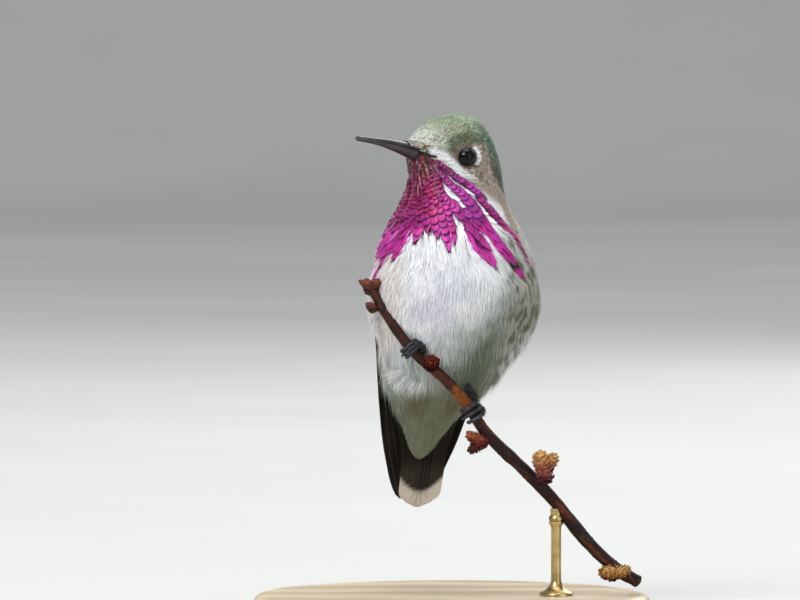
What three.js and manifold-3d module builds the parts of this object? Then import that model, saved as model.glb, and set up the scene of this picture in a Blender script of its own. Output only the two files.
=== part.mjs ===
// A male calliope hummingbird at rest on a short cut twig, as a life-size display model on a round stand.
// Millimetres, +Z up. The origin is the middle of the stand's underside. The breast faces -Y, and the
// head is turned towards -X. The soft body is one smooth coat surface, parted by thin cuts.
import * as THREE from "three";
import { mergeVertices } from "three/addons/utils/BufferGeometryUtils.js";
import Module from "manifold-3d";

const wasm = await Module();
wasm.setup();

// Driving dimensions.
const gap = 0.3; // clearance between neighbouring pieces
const cut = 0.25; // width of the cuts that part the body
const headTurn = 41; // degrees that the bill is turned towards -X
const bodyTurn = -16; // degrees that the breast is turned towards -X
const billLift = 9; // degrees that the bill rises
const billReach = 13.9; // from the forehead's feathers to the tip
const billRoot = 4.5; // length of the bill inside the face
const cutSpan = 90; // wider than any piece, for cutting blocks
const eyeRadius = 1.64;
const twigRadius = 1.05;
const toeRadius = 0.3;
const wingThickness = 1.1;
const tailThickness = 0.9;
const baseRadius = 32;
const baseHeight = 3.6;
const rodRadius = 0.8;
const rodPlace = 16.2; // from the base's middle towards +X

const radians = THREE.MathUtils.degToRad;
const vec = (x, y, z) => new THREE.Vector3(x, y, z);

// The coat, as level sections from the crown down. x and y are the section's middle, side its half
// width, front and back its depths, turn its facing and keen how far the front narrows to a point.
const coatSections = [
  { name: "crown", z: 78.7, x: 0.5, y: -1.6, side: 0, front: 0, back: 0, turn: headTurn, keen: 0 },
  { name: "crownRim", z: 77.7, x: 0.4, y: -1.6, side: 3.5, front: 4.4, back: 4.0, turn: headTurn, keen: 0 },
  { name: "forehead", z: 76.1, x: 0.2, y: -1.6, side: 5.0, front: 7.3, back: 5.5, turn: headTurn, keen: 0.1 },
  { name: "brow", z: 74.1, x: 0.2, y: -1.6, side: 5.9, front: 9.3, back: 6.8, turn: headTurn, keen: 0.2 },
  { name: "eyeLine", z: 71.8, x: 0.4, y: -1.5, side: 6.3, front: 9.8, back: 7.6, turn: headTurn, keen: 0.25 },
  { name: "cheek", z: 69.2, x: 0.6, y: -1.2, side: 6.7, front: 9.1, back: 7.9, turn: 38, keen: 0.15 },
  { name: "throat", z: 66.2, x: 0.5, y: -0.8, side: 7.7, front: 9.2, back: 8.0, turn: 28, keen: 0.05 },
  { name: "neck", z: 63.2, x: 0.2, y: -0.3, side: 9.1, front: 9.9, back: 8.7, turn: 8, keen: 0 },
  { name: "shoulder", z: 59.6, x: 0.1, y: 0.2, side: 11.2, front: 11.3, back: 10.0, turn: -8, keen: 0 },
  { name: "breast", z: 55.0, x: 0.3, y: 0.7, side: 12.8, front: 12.3, back: 11.0, turn: bodyTurn, keen: 0 },
  { name: "keel", z: 50.3, x: 0.3, y: 1.3, side: 13.8, front: 12.1, back: 11.4, turn: bodyTurn, keen: 0 },
  { name: "flank", z: 46.2, x: 0.3, y: 2.3, side: 13.5, front: 11.0, back: 11.1, turn: bodyTurn, keen: 0 },
  { name: "belly", z: 42.5, x: 0.1, y: 3.6, side: 11.7, front: 10.1, back: 10.2, turn: bodyTurn, keen: 0 },
  { name: "thigh", z: 39.0, x: -1.2, y: 4.9, side: 9.8, front: 10.2, back: 9.0, turn: bodyTurn, keen: 0 },
  { name: "vent", z: 35.5, x: -2.4, y: 7.0, side: 8.1, front: 8.9, back: 7.0, turn: bodyTurn, keen: 0 },
  { name: "rump", z: 31.6, x: -3.5, y: 9.7, side: 5.4, front: 5.5, back: 4.7, turn: bodyTurn, keen: 0 },
  { name: "covert", z: 28.0, x: -4.3, y: 11.8, side: 3.2, front: 3.2, back: 2.9, turn: bodyTurn, keen: 0 },
  { name: "covertEnd", z: 25.2, x: -4.9, y: 13.3, side: 1.7, front: 1.8, back: 1.5, turn: bodyTurn, keen: 0 },
  { name: "covertTip", z: 24.0, x: -5.1, y: 13.9, side: 0, front: 0, back: 0, turn: bodyTurn, keen: 0 },
];
const coatSizes = ["side", "front", "back"];

// Sections blended by a Catmull-Rom curve. Past an end its neighbour repeats with its sizes turned
// over, which rounds a closed end.
function blended(rows, sizes, share) {
  const along = share * (rows.length - 1);
  const first = Math.min(Math.floor(along), rows.length - 2);
  const t = along - first;
  const row = (k, key) => {
    if (k >= 0 && k < rows.length) return rows[k][key];
    const mirror = rows[k < 0 ? 1 : rows.length - 2][key];
    return sizes.includes(key) ? -mirror : mirror;
  };
  const found = {};
  for (const key of Object.keys(rows[0])) {
    if (key === "name") continue;
    const [a, b, c, d] = [first - 1, first, first + 1, first + 2].map((k) => row(k, key));
    found[key] =
      0.5 * (2 * b + (c - a) * t + (2 * a - 5 * b + 4 * c - d) * t * t + (3 * b - a - 3 * c + d) * t ** 3);
  }
  return found;
}

function solid(geometry) {
  geometry.deleteAttribute("normal");
  geometry.deleteAttribute("uv");
  const merged = mergeVertices(geometry, 1e-4);
  return new wasm.Manifold(
    new wasm.Mesh({
      numProp: 3,
      vertProperties: merged.getAttribute("position").array,
      triVerts: new Uint32Array(merged.index.array),
    }),
  );
}

// The main body of a cut shape, without the specks that grazing cuts leave.
function mainBody(shape) {
  return shape.decompose().reduce((most, part) => (part.volume() > most.volume() ? part : most));
}

// A closed solid from a sphere's grid: place(share, angle) says where each point goes, with share 0
// at one pole and 1 at the other, and the angle running round.
function moulded(place, rings, sides) {
  const made = new THREE.SphereGeometry(1, sides, rings);
  const spots = made.getAttribute("position");
  for (let ring = 0; ring <= rings; ring++) {
    for (let side = 0; side <= sides; side++) {
      const angle = (2 * Math.PI * (side % sides)) / sides;
      spots.setXYZ(ring * (sides + 1) + side, ...place(ring / rings, angle));
    }
  }
  return solid(made);
}

// Places near a closed end are packed closer, so that it comes out round.
const eased = (share) => 0.5 - 0.5 * Math.cos(Math.PI * share);

function coatPoint(share, angle) {
  const s = blended(coatSections, coatSizes, share);
  const across = Math.cos(angle);
  const deep = Math.sin(angle);
  const width = s.side * across * (1 - s.keen * Math.max(0, -deep));
  const depth = (deep > 0 ? s.back : s.front) * deep;
  const turn = radians(s.turn);
  return [
    s.x + width * Math.cos(turn) + depth * Math.sin(turn),
    s.y - width * Math.sin(turn) + depth * Math.cos(turn),
    s.z,
  ];
}

// A closed tube along a curve. shape(share) gives its half width, half height and the way its flat
// side faces. It is trimmed level at a lowest or highest height, where one is given.
function tube(points, shape, rings, sides, lowest = -Infinity, highest = Infinity) {
  const curve = new THREE.CatmullRomCurve3(points);
  return moulded(
    (share, angle) => {
      const run = eased(share);
      const s = shape(run);
      const at = curve.getPoint(run);
      const along = curve.getTangent(run);
      const across = vec(0, 0, 0).crossVectors(s.face, along).normalize();
      const up = vec(0, 0, 0).crossVectors(along, across);
      const open = share > 0 && share < 1 ? 1 : 0;
      at.addScaledVector(across, -open * s.width * Math.cos(angle));
      const rise = Math.min(highest, Math.max(lowest, s.height * Math.sin(angle)));
      at.addScaledVector(up, open * rise);
      return at.toArray();
    },
    rings,
    sides,
  );
}

// 1 along the middle of a tube and 0 at its ends, over the given share of its length.
const rounded = (run, end) => Math.sqrt(Math.max(0, 1 - Math.max(0, 1 - Math.min(run, 1 - run) / end) ** 2));

// An egg shape: half sizes along, across and up, pointing along a direction.
function egg(centre, direction, long, wide, narrowing, rings, sides) {
  const turn = new THREE.Quaternion().setFromUnitVectors(vec(0, 0, 1), direction.clone().normalize());
  return moulded(
    (share, angle) => {
      const polar = Math.PI * share;
      const tall = Math.cos(polar);
      const reach = wide * Math.sin(polar) * (1 - narrowing * tall);
      const at = vec(reach * Math.cos(angle), reach * Math.sin(angle), long * tall);
      return at.applyQuaternion(turn).add(centre).toArray();
    },
    rings,
    sides,
  );
}

function ball(centre, radius, rings, sides) {
  return egg(centre, vec(0, 0, 1), radius, radius, 0, rings, sides);
}

// A block lying on a tipped level, for cutting. lift raises its middle above the level.
function tippedBlock(level, thickness, lift) {
  const box = new THREE.BoxGeometry(cutSpan, cutSpan, thickness);
  box.translate(0, 0, lift);
  box.rotateX(radians(level.tipBack));
  box.rotateY(radians(level.tipSide));
  box.translate(...level.at);
  return solid(box);
}
const above = (level) => tippedBlock(level, cutSpan, cutSpan / 2);
const slab = (level) => tippedBlock(level, cut, 0);

// Head frame: ahead along the bill, out to the bird's left and up.
const headMiddle = vec(0.4, -1.5, 71.8);
const headAhead = vec(-Math.sin(radians(headTurn)), -Math.cos(radians(headTurn)), 0);
const headLeft = vec(Math.cos(radians(headTurn)), -Math.sin(radians(headTurn)), 0);
function headPoint(ahead, left, up) {
  return headMiddle
    .clone()
    .addScaledVector(headAhead, ahead)
    .addScaledVector(headLeft, left)
    .add(vec(0, 0, up));
}

// Body frame: out to the bird's left, back towards the tail and up.
const bodyMiddle = vec(0.25, 2.0, 0);
const bodyLeft = vec(Math.cos(radians(bodyTurn)), -Math.sin(radians(bodyTurn)), 0);
const bodyBack = vec(Math.sin(radians(bodyTurn)), Math.cos(radians(bodyTurn)), 0);
function bodyPoint(left, back, up) {
  return bodyMiddle
    .clone()
    .addScaledVector(bodyLeft, left)
    .addScaledVector(bodyBack, back)
    .add(vec(0, 0, up));
}

const eyeAhead = 2.9;
const eyeOut = 4.7;
const eyeRaise = 0.2;

function eye(side, radius) {
  return ball(headPoint(eyeAhead, side * eyeOut, eyeRaise), radius, 8, 11);
}

// The bill is a slim tapered tube, slightly arched. Its upper and lower halves part along the gape.
const billBase = headPoint(9.7, 0, 1.15);
const billWay = headAhead
  .clone()
  .multiplyScalar(Math.cos(radians(billLift)))
  .add(vec(0, 0, Math.sin(radians(billLift))));
const billArch = 0.45;
const gapeCut = 0.1;
function bill(grow, lowest, highest) {
  const start = billBase.clone().addScaledVector(billWay, -billRoot);
  const middle = billBase.clone().addScaledVector(billWay, billReach * 0.45);
  const end = billBase.clone().addScaledVector(billWay, billReach);
  middle.z += billArch;
  return tube(
    [start, middle, end],
    (run) => ({
      width: (0.28 + 0.72 * (1 - run) ** 1.3) * rounded(run, 0.06) + grow,
      height: (0.26 + 0.8 * (1 - run) ** 1.5) * rounded(run, 0.06) + grow,
      face: vec(0, 0, 1),
    }),
    14,
    10,
    lowest,
    highest,
  );
}

// A folded wing: a long blade on the side of the back, from the wrist to the tip of the primaries.
const wingStations = [
  { left: 10.7, back: 1.2, up: 58.5, half: 0, out: 1.0, behind: 0.15, sway: 0 },
  { left: 10.6, back: 5.6, up: 51.0, half: 4.4, out: 0.88, behind: 0.5, sway: 0 },
  { left: 7.7, back: 10.4, up: 42.5, half: 4.2, out: 0.72, behind: 0.7, sway: -0.5 },
  { left: 5.5, back: 13.8, up: 34.0, half: 3.1, out: 0.66, behind: 0.75, sway: -1.2 },
  { left: 4.0, back: 16.2, up: 25.8, half: 2.3, out: 0.6, behind: 0.8, sway: -1.5 },
  { left: 2.9, back: 18.4, up: 18.0, half: 0, out: 0.6, behind: 0.8, sway: -1.7 },
];
function wing(side, grow) {
  const points = wingStations.map((s) => bodyPoint(side * s.left + s.sway, s.back, s.up));
  return tube(
    points,
    (run) => {
      const s = blended(wingStations, ["half"], run);
      const face = bodyLeft
        .clone()
        .multiplyScalar(side * s.out)
        .addScaledVector(bodyBack, s.behind)
        .add(vec(0, 0, 0.2));
      return { width: s.half + grow, height: (wingThickness / 2) * rounded(run, 0.12) + grow, face };
    },
    20,
    10,
  );
}

// The folded tail: a thin wedge, broad at its root and round at its tip.
const tailStations = [
  { left: -0.5, back: 7.4, up: 36.2, half: 0 },
  { left: -0.7, back: 9.4, up: 32.4, half: 4.9 },
  { left: -0.9, back: 11.5, up: 28.6, half: 4.9 },
  { left: -0.9, back: 13.6, up: 24.8, half: 4.1 },
  { left: -0.8, back: 15.6, up: 21.0, half: 3.5 },
  { left: -0.8, back: 16.9, up: 18.2, half: 2.9 },
  { left: -0.8, back: 17.6, up: 16.6, half: 0 },
];
function tail(grow) {
  const points = tailStations.map((s) => bodyPoint(s.left, s.back, s.up));
  const face = bodyBack.clone().add(vec(0, 0, 0.5));
  return tube(
    points,
    (run) => ({
      width: blended(tailStations, ["half"], run).half + grow,
      height: (tailThickness / 2) * rounded(run, 0.1) + grow,
      face,
    }),
    16,
    12,
  );
}

// The twig that the bird grips, from its broken top down to its cut end.
const twigPoints = [
  vec(-12.4, -5.2, 51.4),
  vec(-9.3, -6.4, 46.1),
  vec(-5.7, -6.6, 41.4),
  vec(-1.3, -6.2, 37.6),
  vec(1.9, -5.6, 34.0),
  vec(5.5, -5.2, 28.8),
  vec(11.2, -5.0, 23.3),
  vec(15.5, -4.9, 18.9),
  vec(21.3, -4.8, 11.8),
  vec(25.5, -4.7, 7.9),
  vec(29.3, -4.6, 5.6),
];
const twigCurve = new THREE.CatmullRomCurve3(twigPoints);
function twig(grow) {
  return tube(
    twigPoints,
    (run) => {
      const knuckle = 0.1 * Math.cos(run * 48) + 0.06 * Math.cos(run * 113);
      const size = (twigRadius + knuckle) * rounded(run, 0.012) + grow;
      return { width: size, height: size, face: vec(0, -1, 0) };
    },
    42,
    8,
  );
}

// A place beside the twig: run along it, an angle round it (0 above, 90 to the front) and a distance.
function besideTwig(run, angle, distance) {
  const along = twigCurve.getTangent(run);
  const front = vec(0, -1, 0).addScaledVector(along, along.y).normalize();
  const above = vec(0, 0, 0).crossVectors(front, along).normalize();
  if (above.z < 0) above.negate();
  return twigCurve
    .getPoint(run)
    .addScaledVector(above, distance * Math.cos(radians(angle)))
    .addScaledVector(front, distance * Math.sin(radians(angle)));
}

// A foot that grips the twig: the shank, three toes over the front and one round the back. The
// angles run round the twig, from the ankle above and behind it.
const toeGrip = twigRadius + 0.12 + toeRadius + gap;
const ankleAngle = -50;
const frontTipAngle = 205;
const backTipAngle = -170;
const feet = {
  right: { run: 0.205, thigh: vec(-4.0, -1.4, 42.3), spread: 0.0125 },
  left: { run: 0.447, thigh: vec(1.7, -0.4, 37.9), spread: 0.0135 },
};
const frontToes = [-1, 0, 1];
function toe(foot, offset, tipAngle, grow) {
  const steps = 7;
  const points = [];
  for (let k = 0; k <= steps; k++) {
    const part = k / steps;
    const angle = ankleAngle + (tipAngle - ankleAngle) * part;
    points.push(besideTwig(foot.run + offset * Math.min(1, part * 3), angle, toeGrip));
  }
  return tube(
    points,
    (run) => {
      const size = toeRadius * (1 - 0.35 * run) * rounded(run, 0.05) + grow;
      return { width: size, height: size, face: twigCurve.getTangent(foot.run) };
    },
    8,
    5,
  );
}
function thigh(foot) {
  const ankle = besideTwig(foot.run, ankleAngle, toeGrip);
  const way = foot.thigh.clone().sub(ankle).negate();
  return egg(foot.thigh, way, way.length() * 0.72, 2.3, 0.3, 8, 10);
}
function leg(foot, grow) {
  const ankle = besideTwig(foot.run, ankleAngle, toeGrip + 0.1);
  const middle = ankle.clone().lerp(foot.thigh, 0.5);
  let made = tube(
    [ankle, middle, foot.thigh],
    (run) => {
      const size = (0.48 + 0.5 * run) * rounded(run, 0.12) + grow;
      return { width: size, height: size, face: twigCurve.getTangent(foot.run) };
    },
    5,
    6,
  );
  for (const k of frontToes) made = made.add(toe(foot, k * foot.spread, frontTipAngle, grow));
  return made.add(toe(foot, 0, backTipAngle, grow));
}

// Buds and the broken top: eggs that sit against the twig.
const buds = {
  perch_knob: [
    { at: vec(-12.9, -4.6, 51.6), way: vec(-0.4, -0.2, 1), long: 1.35, wide: 0.95, narrowing: 0.1 },
    { at: vec(-11.9, -5.3, 52.0), way: vec(0.5, -0.5, 0.9), long: 1.1, wide: 0.8, narrowing: 0.15 },
    { at: vec(-13.7, -4.7, 52.3), way: vec(-0.9, -0.1, 0.5), long: 0.9, wide: 0.5, narrowing: 0.3 },
  ],
  perch_bud_side: [
    { at: vec(-12.5, -6.0, 48.6), way: vec(-0.9, -0.2, 0.7), long: 1.0, wide: 0.75, narrowing: 0.3 },
  ],
  perch_bud_front: [
    { at: vec(-3.5, -7.7, 40.0), way: vec(-0.1, -1, 0.3), long: 1.0, wide: 1.0, narrowing: 0.2 },
  ],
  perch_bud_lower: [
    { at: vec(4.0, -6.0, 27.9), way: vec(-0.75, -0.3, 0.5), long: 2.0, wide: 0.95, narrowing: 0.35 },
    { at: vec(3.7, -5.8, 26.9), way: vec(-0.7, -0.2, -0.5), long: 1.3, wide: 0.8, narrowing: 0.35 },
  ],
  perch_bud_orange: [
    { at: vec(14.4, -5.8, 22.9), way: vec(0.1, -0.3, 1), long: 2.3, wide: 1.75, narrowing: 0.1 },
    { at: vec(13.0, -6.2, 24.4), way: vec(-0.6, -0.4, 0.7), long: 1.1, wide: 0.75, narrowing: 0.2 },
  ],
  perch_bud_low: [
    { at: vec(24.7, -5.5, 7.2), way: vec(-0.7, -0.5, 0.1), long: 1.8, wide: 1.1, narrowing: 0.15 },
    { at: vec(26.4, -5.9, 7.4), way: vec(0.8, -0.5, 0.4), long: 1.3, wide: 0.9, narrowing: 0.2 },
  ],
};
function bud(lobes, grow) {
  const made = lobes.map((k) => egg(k.at, k.way, k.long + grow, k.wide + grow, k.narrowing, 5, 7));
  return made.reduce((whole, lobe) => whole.add(lobe));
}

// Turned round parts, from a profile of radius and height.
function turned(profile, sides) {
  const made = new THREE.LatheGeometry(
    profile.map(([radius, height]) => new THREE.Vector2(radius, height)),
    sides,
  );
  made.rotateX(Math.PI / 2);
  return solid(made);
}

function standBase() {
  const edge = 0.5;
  const lip = 1.6;
  const shoulder = 2.6;
  return turned(
    [
      [0, 0],
      [baseRadius - edge, 0],
      [baseRadius, edge],
      [baseRadius, lip],
      [baseRadius - shoulder * 0.2, lip + 0.9],
      [baseRadius - shoulder * 0.6, baseHeight - 0.25],
      [baseRadius - shoulder, baseHeight],
      [0, baseHeight],
    ],
    40,
  );
}

// The rod has a flared foot and a collar under the twig, which its top is notched to hold.
function standRod() {
  const top = 17.7;
  const rod = turned(
    [
      [0, baseHeight],
      [2.6, baseHeight],
      [2.6, baseHeight + 0.5],
      [1.3, baseHeight + 1.3],
      [rodRadius, baseHeight + 2.2],
      [rodRadius, top - 3.2],
      [1.15, top - 2.6],
      [1.15, top - 1.7],
      [0.9, top - 1.5],
      [0.9, top],
      [0, top],
    ],
    12,
  );
  return rod.translate([rodPlace, -4.9, 0]).subtract(twig(gap / 2));
}

// Assembly. The coat is parted into head, neck and trunk, and what lies in it is cut free.
const headLevel = { at: [0, -1, 67.3], tipSide: 12, tipBack: 8 };
const neckLevel = { at: [0, 0, 61.4], tipSide: -6, tipBack: 10 };
const coat = moulded(coatPoint, 40, 28).add(thigh(feet.left)).add(thigh(feet.right));
const headSolid = coat
  .intersect(above(headLevel))
  .subtract(slab(headLevel))
  .subtract(eye(1, eyeRadius + gap / 2))
  .subtract(eye(-1, eyeRadius + gap / 2))
  .subtract(bill(gap / 2));
const neckSolid = coat
  .intersect(above(neckLevel))
  .subtract(slab(neckLevel))
  .subtract(above(headLevel))
  .subtract(slab(headLevel));
const trunkSolid = coat
  .subtract(above(neckLevel))
  .subtract(slab(neckLevel))
  .subtract(wing(1, gap / 2))
  .subtract(wing(-1, gap / 2))
  .subtract(tail(gap / 2))
  .subtract(twig(gap / 2))
  .subtract(leg(feet.right, gap / 2))
  .subtract(leg(feet.left, gap / 2))
  .subtract(bud(buds.perch_knob, gap / 2))
  .subtract(bud(buds.perch_bud_side, gap / 2));

function finish(color, roughness, metalness) {
  return new THREE.MeshStandardMaterial({ color, roughness, metalness });
}
const finishes = {
  plumage: finish(0xe9e7e2, 0.85, 0),
  green: finish(0x6d7d63, 0.7, 0.1),
  dark: finish(0x2e2925, 0.7, 0),
  bill: finish(0x2a2829, 0.4, 0),
  eye: finish(0x0b0908, 0.08, 0),
  foot: finish(0x27242b, 0.6, 0),
  bark: finish(0x6a3426, 0.6, 0),
  bud: finish(0xb0653a, 0.6, 0),
  base: finish(0xd9d4ca, 0.5, 0),
  rod: finish(0xb9b6ae, 0.3, 1),
};

const group = new THREE.Group();
function node(name, shape, material) {
  const mesh = shape.getMesh();
  const geometry = new THREE.BufferGeometry();
  geometry.setAttribute("position", new THREE.BufferAttribute(mesh.vertProperties, 3));
  geometry.setIndex(new THREE.BufferAttribute(mesh.triVerts, 1));
  geometry.computeVertexNormals();
  const piece = new THREE.Mesh(geometry, material);
  piece.name = name;
  group.add(piece);
}

node("head", headSolid, finishes.green);
node("neck", neckSolid, finishes.plumage);
node("trunk", mainBody(trunkSolid), finishes.plumage);
node("wing_left", wing(1, 0), finishes.dark);
node("wing_right", wing(-1, 0), finishes.dark);
node("tail", tail(0), finishes.dark);
node("eye_left", eye(1, eyeRadius), finishes.eye);
node("eye_right", eye(-1, eyeRadius), finishes.eye);
node("bill_upper", bill(0, gapeCut / 2), finishes.bill);
node("bill_lower", bill(0, -Infinity, -gapeCut / 2), finishes.bill);
node("leg_left", leg(feet.left, 0), finishes.foot);
node("leg_right", leg(feet.right, 0), finishes.foot);
node("perch_twig", twig(0), finishes.bark);
for (const [name, lobes] of Object.entries(buds)) {
  node(name, bud(lobes, 0).subtract(twig(gap / 2)), finishes.bud);
}
node("stand_base", standBase(), finishes.base);
node("stand_rod", standRod(), finishes.rod);

export default group;
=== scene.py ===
import math
from functools import partial

import bmesh
import bpy
import numpy as np
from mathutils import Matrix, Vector
from mathutils.bvhtree import BVHTree
from mathutils.kdtree import KDTree


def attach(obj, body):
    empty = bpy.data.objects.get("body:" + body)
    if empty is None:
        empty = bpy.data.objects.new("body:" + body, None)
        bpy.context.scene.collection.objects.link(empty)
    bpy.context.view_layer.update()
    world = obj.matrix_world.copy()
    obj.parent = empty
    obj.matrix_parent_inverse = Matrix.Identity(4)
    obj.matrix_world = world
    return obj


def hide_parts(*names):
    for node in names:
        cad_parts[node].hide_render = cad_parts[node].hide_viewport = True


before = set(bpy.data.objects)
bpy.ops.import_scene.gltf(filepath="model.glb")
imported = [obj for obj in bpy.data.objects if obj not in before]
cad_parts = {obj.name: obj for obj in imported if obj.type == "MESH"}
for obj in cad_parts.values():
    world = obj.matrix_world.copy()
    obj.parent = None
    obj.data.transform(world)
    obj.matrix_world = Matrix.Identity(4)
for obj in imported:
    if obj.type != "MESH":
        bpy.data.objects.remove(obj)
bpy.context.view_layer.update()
print("frame loaded:", len(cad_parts), "nodes")

mm = 0.001
upward = np.array([0.0, 0.0, 1.0])


# ---------- sums that every piece uses; lengths are millimetres until a mesh is made
def unit(v):
    return v / np.maximum(np.linalg.norm(v, axis=-1, keepdims=True), 1e-9)


def ramp(value, low, high):
    t = np.clip((value - low) / (high - low), 0, 1)
    return t * t * (3 - 2 * t)


def rounding(distance, reach, least=0.0):
    # 1 inside, rounding off to the least within reach of an end
    return np.sqrt(np.maximum(least, 1 - np.maximum(0, 1 - distance / reach) ** 2))


def linear(rgb):
    c = np.asarray(rgb, float) / 255
    return np.where(c <= 0.04045, c / 12.92, ((c + 0.055) / 1.055) ** 2.4)


def mixed(under, over, share):
    share = np.asarray(share)[..., None]
    return under * (1 - share) + over * share


def layered(tints, under, *layers):
    # named tints laid one over another, each by its own share
    colour = tints[under] if isinstance(under, str) else under
    for name, share in layers:
        colour = mixed(colour, tints[name], share)
    return colour


def linearTints(tints):
    return {name: linear(rgb) for name, rgb in tints.items()}


def mottle(points, size, seed):
    # smooth patches from 0 to 1, about size across
    place = points / size + seed * 17.31
    cell = np.floor(place).astype(np.int64)
    part = place - cell
    part = part * part * (3 - 2 * part)
    total = np.zeros(points.shape[:-1])
    for corner in range(8):
        step = np.array([corner & 1, corner >> 1 & 1, corner >> 2 & 1])
        weight = np.where(step == 1, part, 1 - part).prod(axis=-1)
        at = cell + step
        mark = at[..., 0] * 73856093 ^ at[..., 1] * 19349663 ^ at[..., 2] * 83492791 ^ seed * 911
        mark = (mark ^ (mark >> 13)) * 1274126177 & 0xFFFFFFFF
        total += weight * ((mark >> 8 & 0xFFFF) / 65535)
    return total


def curveThrough(points, share):
    # the same centripetal curve as the frame's tubes
    points = np.asarray(points, float)
    share = np.atleast_1d(np.clip(share, 0, 1))
    ends = np.vstack([2 * points[0] - points[1], points, 2 * points[-1] - points[-2]])
    place = share * (len(points) - 1)
    first = np.minimum(place.astype(int), len(points) - 2)
    t = (place - first)[:, None]
    a, b, c, d = (ends[first + k] for k in range(4))
    gaps = [np.sqrt(np.linalg.norm(q - p, axis=1, keepdims=True)) for p, q in ((a, b), (b, c), (c, d))]
    m = ((b - a) / gaps[0] - (c - a) / (gaps[0] + gaps[1]) + (c - b) / gaps[1]) * gaps[1]
    n = ((c - b) / gaps[1] - (d - b) / (gaps[1] + gaps[2]) + (d - c) / gaps[2]) * gaps[1]
    return b + m * t + (3 * (c - b) - 2 * m - n) * t**2 + (2 * (b - c) + m + n) * t**3


def curveWay(points, share):
    step = 1e-3
    share = np.atleast_1d(share)
    return unit(curveThrough(points, share + step) - curveThrough(points, share - step))


def evenCurve(rows, share):
    # the even curve through rows of numbers; the first and last rows only guide it
    spans = len(rows) - 3
    place = np.clip(share, 0, 1) * spans
    at = np.minimum(place.astype(int), spans - 1)
    t = (place - at)[..., None]
    a, b, c, d = (rows[at + k] for k in range(4))
    return 0.5 * (2 * b + (c - a) * t + (2 * a - 5 * b + 4 * c - d) * t**2 + (3 * b - a - 3 * c + d) * t**3)


def stepped(rows, share):
    # through rows whose last number is nothing at both ends
    ends = np.vstack([rows[1], rows, rows[-2]])
    ends[[0, -1], -1] *= -1
    return evenCurve(ends, share)


def ringQuads(rings, around, closed=False):
    # quads between rings of points; closed joins the last ring to the first
    k = np.arange(rings if closed else rings - 1)[:, None]
    m = np.arange(around)[None, :]
    n = (m + 1) % around
    here, there = k * around, (k + 1) % rings * around
    return np.stack([here + m, there + m, there + n, here + n], axis=-1).reshape(-1, 4)


def closedRings(rings, start, end):
    # a closed solid of triangles: rings of points with a pole at each end
    count, around = rings.shape[:2]
    quads = ringQuads(count, around)
    m = np.arange(around)
    n = (m + 1) % around
    top, last = np.full(around, count * around), (count - 1) * around
    caps = [np.stack([top, m, n], axis=-1), np.stack([top + 1, last + n, last + m], axis=-1)]
    faces = np.concatenate([quads[:, [0, 1, 2]], quads[:, [0, 2, 3]], *caps])
    return np.vstack([rings.reshape(-1, 3), start, end]), faces


# ---------- the coat's outer surface, as the frame's solids have it
coatRows = np.array([
    [78.7, 0.5, -1.6, 0, 0, 0, 41, 0],
    [77.7, 0.4, -1.6, 3.5, 4.4, 4.0, 41, 0],
    [76.1, 0.2, -1.6, 5.0, 7.3, 5.5, 41, 0.1],
    [74.1, 0.2, -1.6, 5.9, 9.3, 6.8, 41, 0.2],
    [71.8, 0.4, -1.5, 6.3, 9.8, 7.6, 41, 0.25],
    [69.2, 0.6, -1.2, 6.7, 9.1, 7.9, 38, 0.15],
    [66.2, 0.5, -0.8, 7.7, 9.2, 8.0, 28, 0.05],
    [63.2, 0.2, -0.3, 9.1, 9.9, 8.7, 8, 0],
    [59.6, 0.1, 0.2, 11.2, 11.3, 10.0, -8, 0],
    [55.0, 0.3, 0.7, 12.8, 12.3, 11.0, -16, 0],
    [50.3, 0.3, 1.3, 13.8, 12.1, 11.4, -16, 0],
    [46.2, 0.3, 2.3, 13.5, 11.0, 11.1, -16, 0],
    [42.5, 0.1, 3.6, 11.7, 10.1, 10.2, -16, 0],
    [39.0, -1.2, 4.9, 9.8, 10.2, 9.0, -16, 0],
    [35.5, -2.4, 7.0, 8.1, 8.9, 7.0, -16, 0],
    [31.6, -3.5, 9.7, 5.4, 5.5, 4.7, -16, 0],
    [28.0, -4.3, 11.8, 3.2, 3.2, 2.9, -16, 0],
    [25.2, -4.9, 13.3, 1.7, 1.8, 1.5, -16, 0],
    [24.0, -5.1, 13.9, 0, 0, 0, -16, 0],
])  # height, middle x and y, half width, front, back, turn, keenness


coatEnds = coatRows[[1, -2]] * np.array([1, 1, 1, -1, -1, -1, 1, 1])
coatGuide = np.vstack([coatEnds[:1], coatRows, coatEnds[1:]])


def coatRow(share):
    return evenCurve(coatGuide, share)


def coatPoint(share, angle):
    row = coatRow(np.asarray(share, float))
    z, x, y, side, front, back, turn, keen = (row[..., k] for k in range(8))
    across, deep = np.cos(angle), np.sin(angle)
    width = side * across * (1 - keen * np.maximum(0, -deep))
    depth = np.where(deep > 0, back, front) * deep
    turn = np.radians(turn)
    return np.stack([
        x + width * np.cos(turn) + depth * np.sin(turn),
        y - width * np.sin(turn) + depth * np.cos(turn),
        z,
    ], axis=-1)


def coatNormal(share, angle):
    step = 2e-3
    share = np.clip(share, 0.004, 0.996)
    down = coatPoint(share + step, angle) - coatPoint(share - step, angle)
    around = coatPoint(share, angle + 0.01) - coatPoint(share, angle - 0.01)
    return unit(np.cross(down, around))


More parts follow.
